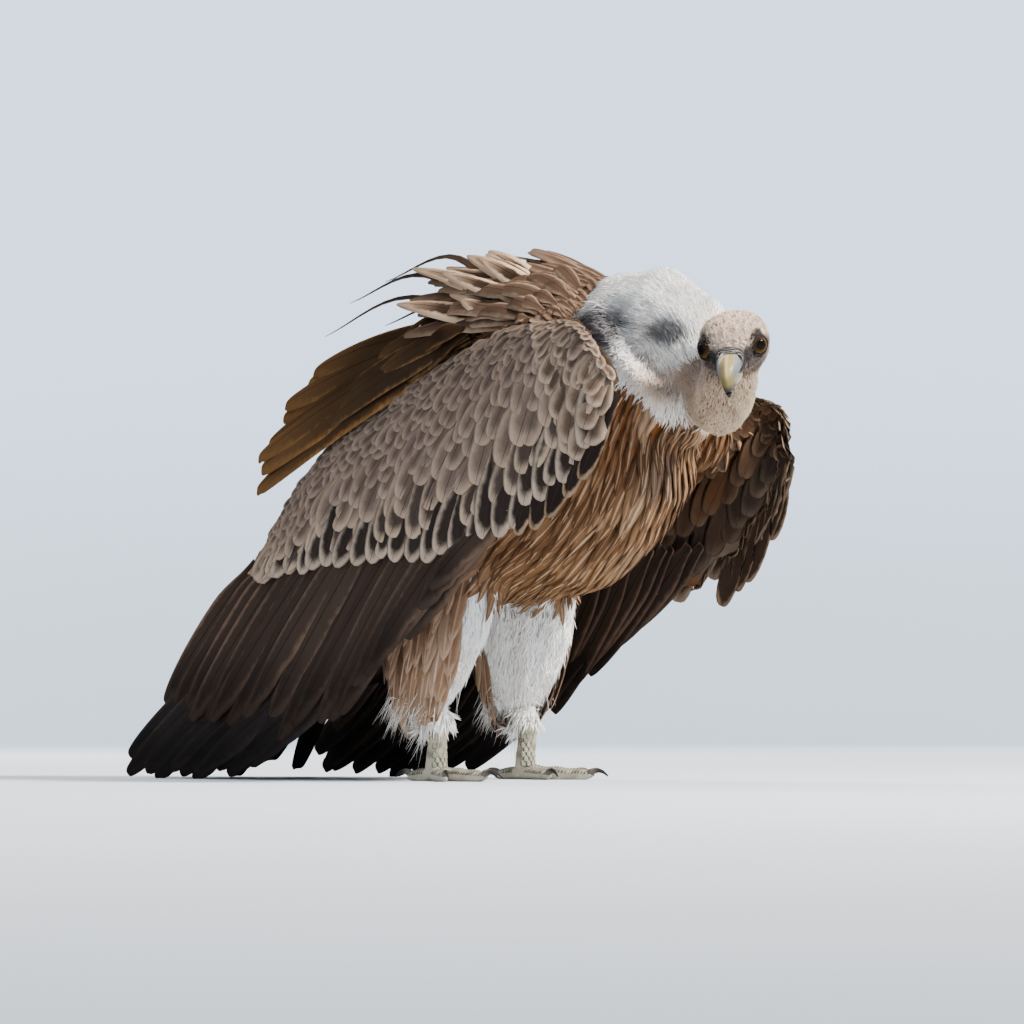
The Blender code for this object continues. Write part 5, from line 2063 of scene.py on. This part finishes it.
@dataclass
class Fan:
    """A fan of long overlapping feathers between a line of roots and a line of tips."""

    name: str
    roots: Sequence
    tips: Sequence
    number: int
    outward: Triple
    side: int = RIGHT
    wide: float = 0.018
    sag: float = 0.005
    core: tuple = (40, 34, 32)
    rim: tuple = (60, 52, 48)
    end: tuple = (24, 21, 22)
    marks: Triple = (0.72, 0.22, 0.035)
    shaft: tuple = (30, 24, 22)
    tilt: float = 0.16
    stray: float = 0.006
    slot: str = "flight_feather"
    seed: int = 1
    hides: tuple[str, ...] = ()
    base: float = 0.30
    tip: float = 0.20
    point: float = 0.5
    barbs: float = 900.0
    order: float = 0.0012
    floor: float = 0.0012
    layers: tuple[float, ...] = (1.0,)    # each layer's reach, as a share of the longest
    fold: float = 0.0                     # how far the feathers turn out to both sides of the back

    def build(self) -> None:
        """Model the fan as one joined piece."""
        t = np.concatenate((np.linspace(0, 0.86, 15), (0.90, 0.935, 0.96, 0.98, 0.992, 1.0)))
        if len(self.layers) > 1:
            t = t[::2]
        rng, n = np.random.default_rng(self.seed), self.number * len(self.layers)
        u = np.concatenate([(np.arange(self.number) + 0.5 + 0.5 * (k % 2)) / self.number
                            for k in range(len(self.layers))])
        u = np.minimum(u, 1.0) + rng.normal(size=n) * 0.12 / self.number
        reach = np.repeat(self.layers, self.number)[:, None]
        flip = np.array((1, self.side, 1))
        start, finish = curve(self.roots, u) * flip, curve(self.tips, u) * flip
        finish = start + (finish - start) * reach
        finish = finish + rng.normal(size=(n, 3)) * self.stray * (1, 0.3, 1)
        turned = np.outer(start[:, 1] / 0.1 * self.fold, (0, 1.0, 0))
        up = unit(np.array(self.outward) * flip + turned)[:, None]
        spines = start[:, None] + (finish - start)[:, None] * t[:, None]
        bow = (4 * t * (1 - t))[None, :, None] * (self.sag + rng.normal(size=n) * 0.0015)[:, None, None]
        layer = (np.arange(n) % 2 * 0.5 + 0.5)[:, None, None] * self.order
        layer = layer + (1 - reach[:, None]) * self.order * 5
        spines = row(spines + up * (bow + layer + 0.001))
        spines[..., 2] = np.maximum(spines[..., 2], self.floor)
        along = unit(np.gradient(spines, axis=1))
        ups = np.broadcast_to(lie(up[:, 0])[:, None], spines.shape)
        ups = unit(ups - along * (ups * along).sum(-1, keepdims=True))
        tilt = self.tilt + rng.normal(size=n) * 0.03
        ups = unit(ups + np.cross(along, ups) * tilt[:, None, None])
        width = vane_width(t, self.base, 0.35, self.tip, self.point)
        splits = 1 - (rng.random((n, len(t))) < 0.16) * rng.uniform(0.05, 0.22, (n, len(t))) * (t > 0.45)
        wide = self.wide * (0.6 + 0.4 * reach) * rng.uniform(0.92, 1.08, (n, 1))
        left, right = wide * 1.12 * width * splits, wide * 0.88 * width
        dark, tone = ease(0.55, 0.95, t), rng.uniform(0.85, 1.18, (n, 1, 1))
        core, rim = painted(self.core, (self.end, dark)), painted(self.rim, (self.end, dark * 0.8))
        plumage = Plumage(self.name + "_feathers", Master(10, t),
                          FeatherFinish(self.name + "_vane", self.barbs, 0.4, 0.6, 0.0), self.slot,
                          self.hides)
        plumage.lay(spines, ups, left, right, 0.0008 * (1 - 0.6 * t), 0.16, core * tone, rim * tone,
                    srgb(*self.shaft), self.marks)
        columns = math.ceil(math.sqrt(n))
        cell = np.stack((np.arange(n) % columns, np.arange(n) // columns), 1) / columns
        batch = plumage.batches[-1]
        batch["bake"] = cell[:, None] + (0.04 + batch["vane"] * 0.92) / columns
        plumage.join()


# ---- back and tail ------------------------------------------------------------------------------
@dataclass
class Back:
    """The mantle with its lifted crest, the long scapulars, loose wisps, and the tail."""

    skin: Skin
    lean: Triple = (0.08, 0.86, 0.50)

    def scapulars(self, side: int) -> None:
        """Lay one side's long scapulars and the shorter ones over their roots.

        Args:
            side: RIGHT or LEFT.
        """
        drop = 0.0 if side == RIGHT else -0.025
        roots = ((0.060, 0.108, 0.450 + drop), (0.030, 0.075, 0.468), (0.020, 0.035, 0.468))
        tips = ((-0.226, 0.076, 0.300 + drop), (-0.246, 0.060, 0.345 + drop),
                (-0.225, 0.040, 0.400 + drop), (-0.190, 0.020, 0.432 + drop))
        name = SIDE_NAMES[side]
        Fan(f"scapulars_{name}", roots, tips, 8, self.lean, side, wide=0.0245, sag=0.012,
            core=(52, 38, 26), rim=(134, 94, 54), end=(78, 56, 36), marks=(0.88, 0.26, 0.03),
            shaft=(26, 18, 14), tilt=0.20, slot="mantle_feather", seed=31 + side,
            hides=(f"scapulars_{name}",), tip=0.34, barbs=700.0).build()
        Fan(f"scapular_coverts_{name}", roots, tips, 7, self.lean, side, wide=0.0200, sag=0.010,
            core=(48, 36, 26), rim=(108, 80, 54), end=(62, 46, 32), marks=(0.88, 0.22, 0.03),
            shaft=(34, 26, 22), slot="mantle_feather", seed=35 + side, tip=0.3,
            layers=(0.70, 0.55, 0.40, 0.26), order=0.0022, stray=0.010).build()

    def mantle(self) -> None:
        """Lay the mantle's rows and the crest that the bird holds up."""
        roots = ((0.125, 0.105, 0.458), (0.150, 0.060, 0.480), (0.140, 0.000, 0.486),
                 (0.150, -0.060, 0.476), (0.120, -0.120, 0.436))
        tips = ((-0.020, 0.085, 0.455), (-0.060, 0.040, 0.512), (-0.050, 0.005, 0.520),
                (-0.040, -0.050, 0.524), (-0.075, -0.110, 0.430))
        Fan("mantle", roots, tips, 13, (-0.15, 0.30, 0.9), fold=0.6, wide=0.0165, sag=0.012,
            core=(82, 64, 52), rim=(152, 126, 104), end=(92, 72, 58), marks=(0.72, 0.30, 0.04),
            shaft=(44, 34, 28), tilt=0.05, slot="mantle_feather", seed=41, order=0.0020, stray=0.008,
            layers=(1.0, 0.84, 0.68, 0.54, 0.41, 0.28, 0.16), hides=("mantle",)).build()
        crest_roots = ((0.095, 0.090, 0.455), (0.120, 0.060, 0.472), (0.115, 0.028, 0.480),
                       (0.105, 0.005, 0.482))
        crest_tips = ((-0.030, 0.080, 0.474), (-0.036, 0.060, 0.505), (-0.034, 0.034, 0.539),
                      (0.010, 0.012, 0.541))
        Fan("crest", crest_roots, crest_tips, 8, (0.10, 0.80, 0.60), wide=0.0150, sag=0.010,
            core=(46, 34, 27), rim=(212, 180, 148), end=(158, 130, 106), marks=(0.56, 0.16, 0.05),
            shaft=(40, 30, 24), tilt=0.20, slot="mantle_feather", seed=43, layers=(1.0, 0.8, 0.6),
            order=0.0030, stray=0.012, tip=0.10, point=0.8).build()

    def nape(self) -> None:
        """Lay the small scaly feathers where the back meets the collar."""
        roots = ((0.145, 0.085, 0.456), (0.155, 0.050, 0.474), (0.152, 0.000, 0.486),
                 (0.150, -0.050, 0.484), (0.125, -0.105, 0.450))
        tips = ((0.040, 0.090, 0.462), (0.055, 0.050, 0.500), (0.045, 0.005, 0.530),
                (0.035, -0.045, 0.541), (0.020, -0.105, 0.470))
        Fan("nape", roots, tips, 20, (0.30, 0.45, 0.85), fold=0.4, wide=0.0112, sag=0.010,
            core=(80, 62, 50), rim=(150, 122, 102), end=(104, 82, 68), marks=(0.50, 0.34, 0.04),
            shaft=(48, 38, 32), tilt=0.05, slot="mantle_feather", seed=45, order=0.0016, tip=0.35,
            layers=(1.0, 0.88, 0.77, 0.67, 0.58, 0.49, 0.4, 0.3, 0.2)).build()

    def wisps(self) -> None:
        """Add the few thin feathers that curve free of the back."""
        t = np.linspace(0, 1, 14)
        plan = (((0.050, 0.040, 0.480), (-0.080, 0.035, 0.505), (-0.186, 0.030, 0.468)),
                ((0.050, 0.036, 0.485), (-0.060, 0.032, 0.528), (-0.153, 0.030, 0.502)),
                ((0.055, 0.030, 0.490), (-0.020, 0.030, 0.545), (-0.107, 0.030, 0.522)),
                ((0.055, 0.030, 0.490), (0.020, 0.028, 0.520), (-0.018, 0.028, 0.532)),
                ((0.050, 0.034, 0.488), (0.010, 0.030, 0.505), (-0.026, 0.030, 0.508)),
                ((0.060, 0.020, 0.492), (-0.040, 0.016, 0.500), (-0.120, 0.012, 0.478)))
        spines = np.stack([curve(points, t) for points in plan])
        ups = np.broadcast_to(lie((-0.1, 0.6, 0.8)), spines.shape)
        width = 0.0048 * vane_width(t, 0.6, 0.3, 0.10, 0.8)
        plumage = Plumage("wisps", Master(8, t), FeatherFinish("wisp_vane", 500.0, 0.4), "mantle_feather")
        plumage.lay(row(spines), ups, width, width, 0.0006 * (1 - 0.5 * t), 0.25, srgb(62, 48, 40),
                    srgb(98, 74, 56), srgb(24, 18, 16), (0.8, 0.2, 0.08))
        plumage.join()

    def tail(self) -> None:
        """Lay the tail's quills and the coverts over their roots."""
        roots = ((-0.150, 0.045, 0.235), (-0.160, 0.020, 0.252), (-0.163, 0.000, 0.256),
                 (-0.160, -0.022, 0.252), (-0.150, -0.050, 0.232))
        tips = ((-0.385, 0.052, 0.016), (-0.412, 0.015, 0.014), (-0.408, -0.030, 0.014),
                (-0.375, -0.075, 0.014), (-0.320, -0.112, 0.016))
        Fan("tail", roots, tips, 13, (-0.72, 0.0, 0.69), wide=0.024, sag=0.006, core=(28, 25, 26),
            rim=(40, 35, 34), end=(20, 18, 20), tilt=0.10, seed=51, hides=("tail",), tip=0.3).build()
        Fan("tail_coverts", roots, tips, 9, (-0.72, 0.0, 0.69), wide=0.021, sag=0.012,
            core=(74, 58, 48), rim=(140, 116, 96), end=(84, 66, 54), marks=(0.68, 0.28, 0.04),
            tilt=0.08, seed=53, tip=0.3, layers=(0.50, 0.38, 0.26, 0.14), order=0.0030,
            slot="mantle_feather").build()

    def build(self) -> None:
        """Lay the tail, the scapulars, the mantle and the wisps."""
        self.tail()
        for side in SIDE_NAMES:
            self.scapulars(side)
        self.nape()
        self.mantle()
        self.wisps()


# ---- bill, eyes, claws and scutes ---------------------------------------------------------------
@dataclass(frozen=True)
class HornFinish:
    """Horn of a bill or claw: grown in fine lines, a little glossy, toned by the mesh."""

    name: str
    roughness: float = 0.38
    coat: float = 0.05
    lines: float = 260.0
    contrast: float = 0.35

    def make(self) -> bpy.types.Material:
        """Build the material."""
        material, t, shader, place = start_material(
            self.name, Roughness=self.roughness, Coat_Weight=self.coat, Coat_Roughness=0.2,
            Specular_IOR_Level=0.15)
        grown = t.noise(place, self.lines, 5.0, 0.65)
        level = t.plus(grown, t.times(t.noise(place, 70.0, 3.0), 0.7))
        level = t.plus(1.0, t.times(t.less(level, 0.85), self.contrast))
        t.feed(shader["Base Color"], t.shade(t.read("Tone"), level))
        t.feed(shader["Roughness"], t.step(grown, 0.3, 0.7, self.roughness + 0.14, self.roughness - 0.06))
        add_bump(t, shader, level, 0.0004)
        return material


@dataclass(frozen=True)
class EyeFinish:
    """A wet eye: pupil, flecked iris and dark limbus, drawn by the angle from its axis."""

    name: str
    pupil: float = 0.31
    iris: float = 0.68

    def make(self) -> bpy.types.Material:
        """Build the material."""
        material, t, shader, place = start_material(
            self.name, Roughness=0.08, Coat_Weight=0.15, Coat_IOR=1.33, Coat_Roughness=0.02,
            Specular_IOR_Level=0.0)
        angle = t.read("Angle", "Fac")
        fleck = t.step(t.noise(place, 900.0, 4.0), 0.35, 0.65)
        amber = t.mix(fleck, (*srgb(112, 80, 28), 1), (*srgb(62, 42, 17), 1))
        inner = t.mix(t.step(angle, self.pupil, self.iris), (*srgb(46, 30, 12), 1), amber)
        limbus = t.step(angle, self.iris - 0.05, self.iris + 0.03)
        colour = t.mix(limbus, inner, (*srgb(26, 16, 12), 1))
        black = t.step(angle, self.pupil - 0.015, self.pupil + 0.015, 0.0, 1.0)
        t.feed(shader["Base Color"], t.mix(black, colour, (0.004, 0.003, 0.003, 1)))
        return material


def set_tone(thing: bpy.types.Object, tone: np.ndarray) -> None:
    """Store a colour for each point of a mesh as its tone."""
    set_colours(thing.data, "Tone", np.clip(tone, 0, 1))


def place_piece(thing: bpy.types.Object, name: str, material: bpy.types.Material,
                node: str) -> None:
    """Name a finished piece, dress it and put it on the frame.

    Args:
        thing: the piece.
        name: its name.
        material: its finish.
        node: the CAD node that it replaces.
    """
    thing.name = thing.data.name = name
    thing.data.materials.clear()
    thing.data.materials.append(material)
    thing.data.shade_smooth()
    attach(thing, "root")
    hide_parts(node)
    log.info("%s: %d faces", name, len(thing.data.polygons))


def smooth_out(thing: bpy.types.Object, levels: int) -> None:
    """Subdivide a shape smoothly.

    Args:
        thing: the shape.
        levels: how many times.
    """
    select_only(thing)
    modifier = thing.modifiers.new("smooth", "SUBSURF")
    modifier.levels = modifier.render_levels = levels
    bpy.ops.object.modifier_apply(modifier=modifier.name)


@dataclass
class Bill:
    """The hooked bill, with its cere, nostrils and cutting edges."""

    upper: tuple = ((0.014, -0.0010, 0.0100, 0.0080, 0.0090), (0.020, -0.0006, 0.0116, 0.0098, 0.0108),
                    (0.026, -0.0004, 0.0126, 0.0106, 0.0116), (0.030, -0.0006, 0.0124, 0.0104, 0.0120),
                    (0.036, -0.0008, 0.0120, 0.0106, 0.0125), (0.047, -0.0012, 0.0112, 0.0108, 0.0125),
                    (0.057, -0.0045, 0.0092, 0.0098, 0.0100), (0.064, -0.0105, 0.0064, 0.0078, 0.0068),
                    (0.0675, -0.0180, 0.0038, 0.0046, 0.0042), (0.0672, -0.0250, 0.0012, 0.0016, 0.0016))
    lower: tuple = ((0.014, -0.0190, 0.0070, 0.0030, 0.0040), (0.024, -0.0190, 0.0100, 0.0036, 0.0046),
                    (0.040, -0.0185, 0.0092, 0.0036, 0.0044), (0.054, -0.0172, 0.0066, 0.0030, 0.0036),
                    (0.060, -0.0165, 0.0034, 0.0018, 0.0022))
    cere_end: float = 0.0425
    rings: int = 40

    def half(self, name: str, plan: tuple, power: float) -> bpy.types.Object:
        """Loft one half of the bill in the head's frame.

        Args:
            name: the shape's name.
            plan: its rows along the bill.
            power: how square its cross-section is.

        Returns:
            The half's closed shape.
        """
        fine = curve(plan, np.linspace(0, 1, self.rings))
        centres = np.stack((fine[:, 0], np.zeros(self.rings), fine[:, 1]), 1)
        thing = loft(name, centres, fine[:, 2], fine[:, 3], fine[:, 4], np.array((0, 1.0, 0)),
                     np.array((0, 0, 1.0)), 36, power)
        smooth_out(thing, 1)
        return thing

    def nostril(self, p: np.ndarray) -> np.ndarray:
        """Mark the two slit nostrils, which slant down and forward.

        Args:
            p: places in the head's own frame.

        Returns:
            A share from 0 to 1 for each place.
        """
        q = mirrored(p) - (0.0345, 0.0088, 0.0045)
        along = q @ unit(np.array((0.25, 0.45, -0.86)))
        across = q @ unit(np.array((0.95, -0.25, 0.15)))
        return np.exp(-(along / 0.0050) ** 4 - (across / 0.0017) ** 4)

    def build(self) -> None:
        """Model, sculpt, tone and place both halves."""
        finish = HornFinish("bill_horn").make()
        top = self.half("bill_upper", self.upper, 2.15)
        p, n = points_of(top.data), normals_of(top.data)
        y, z, x = np.abs(p[:, 1]), p[:, 2], p[:, 0]
        horn = ease(self.cere_end - 0.0012, self.cere_end + 0.0012, x + 0.7 * y - 0.0006)
        ridge = np.exp(-(y / 0.0026) ** 2) * ease(0.0, 0.4, n[:, 2] + n[:, 0]) * horn
        step = (1 - horn) * ease(0.016, 0.022, x)
        folds = np.sin((x + 0.7 * y) * math.tau / 0.0048) * step
        edge = np.exp(-((z + 0.0125) / 0.0018) ** 2) * horn * ease(0.055, 0.05, x)
        slit = self.nostril(p)
        push = 0.0007 * ridge + 0.0007 * step + 0.00035 * folds + 0.0006 * edge - 0.0022 * slit
        set_points(top.data, p + n * push[:, None])
        hook = ease(0.050, 0.060, x)
        tone = painted(
            (120, 121, 102), ((150, 118, 50), 0.85 * np.exp(-((y - 0.0032) / 0.0025) ** 2) * horn),
            # pale cream line down the culmen's middle: a painted highlight of the ridge
            ((200, 190, 146), 0.6 * np.exp(-(y / 0.0014) ** 2) * horn),
            ((88, 93, 102), 0.9 * ease(0.009, -0.002, z) * ease(0.003, 0.007, y)),
            ((98, 86, 44), 0.85 * ease(0.002, -0.008, z) * hook),
            ((34, 32, 30), 0.97 * ease(-0.008, -0.016, z) * hook))
        # pale crests of the cere's folds: painted highlights on the dark cere
        cere = painted((32, 29, 30), ((176, 168, 160), 0.8 * ease(0.78, 1.0, folds)))
        set_tone(top, painted(blend(cere, tone, horn), ((14, 11, 11), ease(0.15, 0.6, slit))))
        under = self.half("bill_lower", self.lower, 2.0)
        q = points_of(under.data)
        set_tone(under, painted((120, 116, 104), ((58, 54, 52), ease(0.045, 0.06, q[:, 0]))))
        for thing, name, node in ((top, "bill_top", "bill_upper"), (under, "bill_under", "bill_lower")):
            set_points(thing.data, HEAD.out(points_of(thing.data)))
            place_piece(thing, name, finish, node)


@dataclass
class Eyes:
    """Both eyeballs, each with a slight cornea, set behind the lids."""

    cornea: float = 0.045

    def build(self) -> None:
        """Model both eyes."""
        finish = EyeFinish("wet_eye").make()
        for side, name in SIDE_NAMES.items():
            select_only()
            bpy.ops.mesh.primitive_uv_sphere_add(segments=48, ring_count=32, radius=HEAD.eye_radius)
            ball = bpy.context.object
            p = points_of(ball.data)
            angle = np.arccos(np.clip(p[:, 2] / HEAD.eye_radius, -1, 1)) / (math.pi / 2)
            p = p * (1 + self.cornea * ease(0.62, 0.2, angle))[:, None]
            look = HEAD.eye_look(side, True)
            turn = Vector((0, 0, 1)).rotation_difference(Vector(look)).to_matrix()
            p = p @ np.array(turn).T + HEAD.eye_centre(side)
            set_points(ball.data, HEAD.out(p))
            layer = ball.data.attributes.new("Angle", "FLOAT", "POINT")
            layer.data.foreach_set("value", angle.astype(np.float32))
            place_piece(ball, "eyeball_" + name, finish, "eye_" + name)


@dataclass
class Claws:
    """Eight curved claws and the scutes of the feet."""

    legs: LegSkin = field(default_factory=LegSkin)

    def claw(self, side: int, toe: str, finish: bpy.types.Material) -> None:
        """Model one claw.

        Args:
            side: RIGHT or LEFT.
            toe: the toe's name.
            finish: the claw's material.
        """
        _, length, _ = self.legs.toes[toe]
        start, along = self.legs.toe_line(side, toe)
        t = np.linspace(0, 1, 16)
        away = length - 0.002 + 0.021 * t
        up = 0.0072 + 0.0042 * np.sin(0.8 * math.pi * t) - 0.0062 * t**2
        radius = 0.0042 * (1 - 0.80 * t)
        up = np.maximum(up, radius + 0.0002)
        centres = row(start + along * away[:, None] + np.outer(up, (0, 0, 1)))
        thing = loft("claw", centres, radius * 0.85, radius, radius, lie(np.cross(along, (0, 0, 1.0))),
                     np.array((0, 0, 1.0)), 14)
        smooth_out(thing, 1)
        p = points_of(thing.data)
        share = np.clip(((bird(p) - start) @ along - length) / 0.02, 0, 1)
        set_tone(thing, painted((96, 88, 78), ((38, 35, 34), ease(0, 0.5, share))))
        name = SIDE_NAMES[side]
        place_piece(thing, f"nail_{toe}_{name}", finish, f"claw_{toe}_{name}")

    def scutes(self) -> None:
        """Lay overlapping plates over the toes and up the front of the shanks."""
        t = np.array((0, 0.35, 0.7, 0.9, 1.0))
        plates = Plumage("scutes", Master(8, t),
                         FeatherFinish("scute", 0.0, 0.35, 0.5, 0.0, 0.0003), "scaled_skin")
        spines, ups, wide, arch = [], [], [], []
        for side in SIDE_NAMES:
            for toe, (_, length, _) in self.legs.toes.items():
                start, along = self.legs.toe_line(side, toe)
                for away in np.arange(0.009, length - 0.001, 0.0036):
                    line = away + 0.0050 * t
                    middle, size, above = self.legs.toe_shape(toe, line)
                    high = middle + above - 0.0006 + 0.0014 * t
                    spines.append(start + along * line[:, None] + high[:, None] * (0, 0, 1))
                    ups.append(np.broadcast_to((0, 0, 1.0), (5, 3)))
                    wide.append(size.mean() * 1.04)
                    arch.append(0.85)
            for k, high in enumerate(np.arange(0.020, 0.060, 0.0048)):
                for turn in np.radians((-48, -16, 16, 48) if k % 2 else (-64, -32, 0, 32, 64)):
                    out = np.array((math.cos(turn), math.sin(turn), 0))
                    reach = 0.0103 if high > 0.03 else 0.0106
                    foot = np.array((self.legs.step_back - 0.001, side * self.legs.stance, high))
                    line = foot + out * (reach + 0.0006 * t)[:, None] - (0.0062 * t)[:, None] * (0, 0, 1)
                    spines.append(line)
                    ups.append(np.broadcast_to(out, (5, 3)))
                    wide.append(0.0031)
                    arch.append(0.3)
        spines, ups, wide = np.array(spines), np.array(ups), np.array(wide)
        n = len(spines)
        width = wide[:, None] * vane_width(t, 0.8, 0.5, 0.45, 0.5)
        rng = np.random.default_rng(77)
        core = srgb(150, 146, 128) * rng.uniform(0.85, 1.12, (n, 1))
        plates.lay(row(spines), lie(ups), width, width, 0.0006, np.array(arch)[:, None, None], core,
                   core * 0.52, core, (0.66, 0.25, 0.0))
        plates.join()

    def build(self) -> None:
        """Model the claws, then the scutes."""
        finish = HornFinish("claw_horn", 0.42, 0.1, 420.0, 0.4).make()
        for side in SIDE_NAMES:
            for toe in self.legs.toes:
                self.claw(side, toe, finish)
        self.scutes()


# ---- the studio ---------------------------------------------------------------------------------
@dataclass(frozen=True)
class Studio:
    """The floor, the backdrop, the lights and the camera."""

    bearing: float = math.radians(35)      # the camera's bearing, from straight ahead to the right
    distance: float = 5.0
    height: float = 0.07
    lens: float = 169.03
    aim_turn: float = math.radians(0.3218)
    aim_rise: float = math.radians(2.3915)
    floor_radius: float = 6.0
    bend: float = 2.5                      # radius of the curve from the floor to the backdrop
    bend_steps: int = 12
    wall: float = 6.0

    @property
    def toward(self) -> np.ndarray:
        """Unit direction from the bird to the camera, over the floor."""
        return np.array((-math.sin(math.radians(90) - self.bearing), -math.sin(self.bearing), 0.0))

    @property
    def rightward(self) -> np.ndarray:
        """Unit direction to the camera's right."""
        return np.cross((0, 0, 1.0), self.toward)

    def place_camera(self) -> None:
        """Put the camera low in front of the bird's right side."""
        data = bpy.data.cameras.new("camera")
        data.lens, data.sensor_width = self.lens, 36.0
        data.clip_end = 60.0
        camera = bpy.data.objects.new("camera", data)
        bpy.context.scene.collection.objects.link(camera)
        camera.location = SPOT + self.toward * self.distance + np.array((0, 0, self.height))
        level = -self.toward * math.cos(self.aim_turn) + self.rightward * math.sin(self.aim_turn)
        look = level * math.cos(self.aim_rise) + np.array((0, 0, 1.0)) * math.sin(self.aim_rise)
        camera.rotation_euler = Vector(look).to_track_quat("-Z", "Y").to_euler()
        bpy.context.scene.camera = camera

    def build_room(self) -> None:
        """Lay a pale floor that turns up into a pale backdrop all round."""
        select_only()
        bpy.ops.mesh.primitive_circle_add(vertices=96, radius=self.floor_radius, fill_type="NGON")
        room = bpy.context.object
        room.name = "room"
        bpy.ops.object.mode_set(mode="EDIT")
        turns = [math.radians(90 / self.bend_steps * k) for k in range(self.bend_steps + 1)]
        for a, b in zip(turns, turns[1:]):
            bpy.ops.mesh.select_all(action="DESELECT")
            bpy.ops.object.mode_set(mode="OBJECT")
            top = max(v.co.z for v in room.data.vertices)
            for edge in room.data.edges:
                ends = [room.data.vertices[i].co for i in edge.vertices]
                edge.select = all(abs(e.z - top) < 1e-4 and e.length > 1.0 for e in ends)
            bpy.ops.object.mode_set(mode="EDIT")
            bpy.ops.mesh.select_mode(type="EDGE")
            rise = self.bend * (math.cos(a) - math.cos(b))
            bpy.ops.mesh.extrude_edges_move(TRANSFORM_OT_translate={"value": (0, 0, rise)})
            near, far = (self.floor_radius + self.bend * math.sin(turn) for turn in (a, b))
            bpy.ops.transform.resize(value=(far / near, far / near, 1.0), center_override=(0, 0, 0))
        bpy.ops.mesh.extrude_edges_move(TRANSFORM_OT_translate={"value": (0, 0, self.wall)})
        face_out(inside=True)
        room.data.shade_smooth()
        material, t, shader, place = start_material("pale_floor", Roughness=0.9, Specular_IOR_Level=0.1)
        floor = t.mix(t.noise(place, 2.0, 2.0), (0.62, 0.66, 0.71, 1), (0.66, 0.695, 0.735, 1))
        high = t.step(t.add("SeparateXYZ", place).outputs[2], 0.0, 1.2)
        t.feed(shader["Base Color"], t.mix(high, floor, (0.74, 0.85, 0.97, 1)))
        room.data.materials.append(material)

    def add_light(self, name: str, right: float, toward: float, up: float, size: float,
                  power: float, colour: Colour, aim: Triple = (0.0, -0.05, 0.30)) -> None:
        """Add one soft square light that faces the bird, or another point.

        Args:
            name: the light's name.
            right: distance to the camera's right.
            toward: distance toward the camera.
            up: height over the floor.
            size: its side.
            power: its strength in watts.
            colour: its colour.
            aim: the point that it faces.
        """
        data = bpy.data.lights.new(name, "AREA")
        data.size, data.energy, data.color = size, power, colour
        light = bpy.data.objects.new(name, data)
        bpy.context.scene.collection.objects.link(light)
        light.location = Vector(self.rightward * right + self.toward * toward + np.array((0, 0, up)))
        light.rotation_euler = (Vector(aim) - light.location).to_track_quat("-Z", "Y").to_euler()

    def light(self) -> None:
        """Light the bird softly, strongest from high on the camera's right."""
        self.add_light("key", 2.9, 1.4, 3.0, 0.7, 620.0, (1.0, 0.955, 0.90))
        self.add_light("fill", -2.6, 2.6, 1.5, 3.0, 40.0, (0.94, 0.97, 1.0))
        self.add_light("rim", -1.6, -2.6, 2.4, 1.6, 150.0, (1.0, 0.93, 0.82))
        behind = tuple(self.toward * -8.0 + np.array((0, 0, 1.5)))
        for name, right in (("wash_left", -3.0), ("wash_right", 3.0)):
            self.add_light(name, right, -3.4, 2.2, 2.5, 230.0, (0.88, 0.94, 1.0), behind)
        world = bpy.data.worlds.new("studio")
        world.use_nodes = True
        background = world.node_tree.nodes["Background"]
        background.inputs["Color"].default_value = (0.90, 0.95, 1.0, 1.0)
        background.inputs["Strength"].default_value = 0.34
        bpy.context.scene.world = world

    def build(self) -> None:
        """Set up the whole studio."""
        self.build_room()
        self.light()
        self.place_camera()


def main() -> None:
    """Build the bird and its studio."""
    skin = Skin()
    skin.build()
    Coat(skin).build()
    for side in SIDE_NAMES:
        Wing(side, skin).build()
    Back(skin).build()
    for part in (Bill(), Eyes(), Claws()):
        part.build()
    Studio().build()


if __name__ == "__main__":
    main()
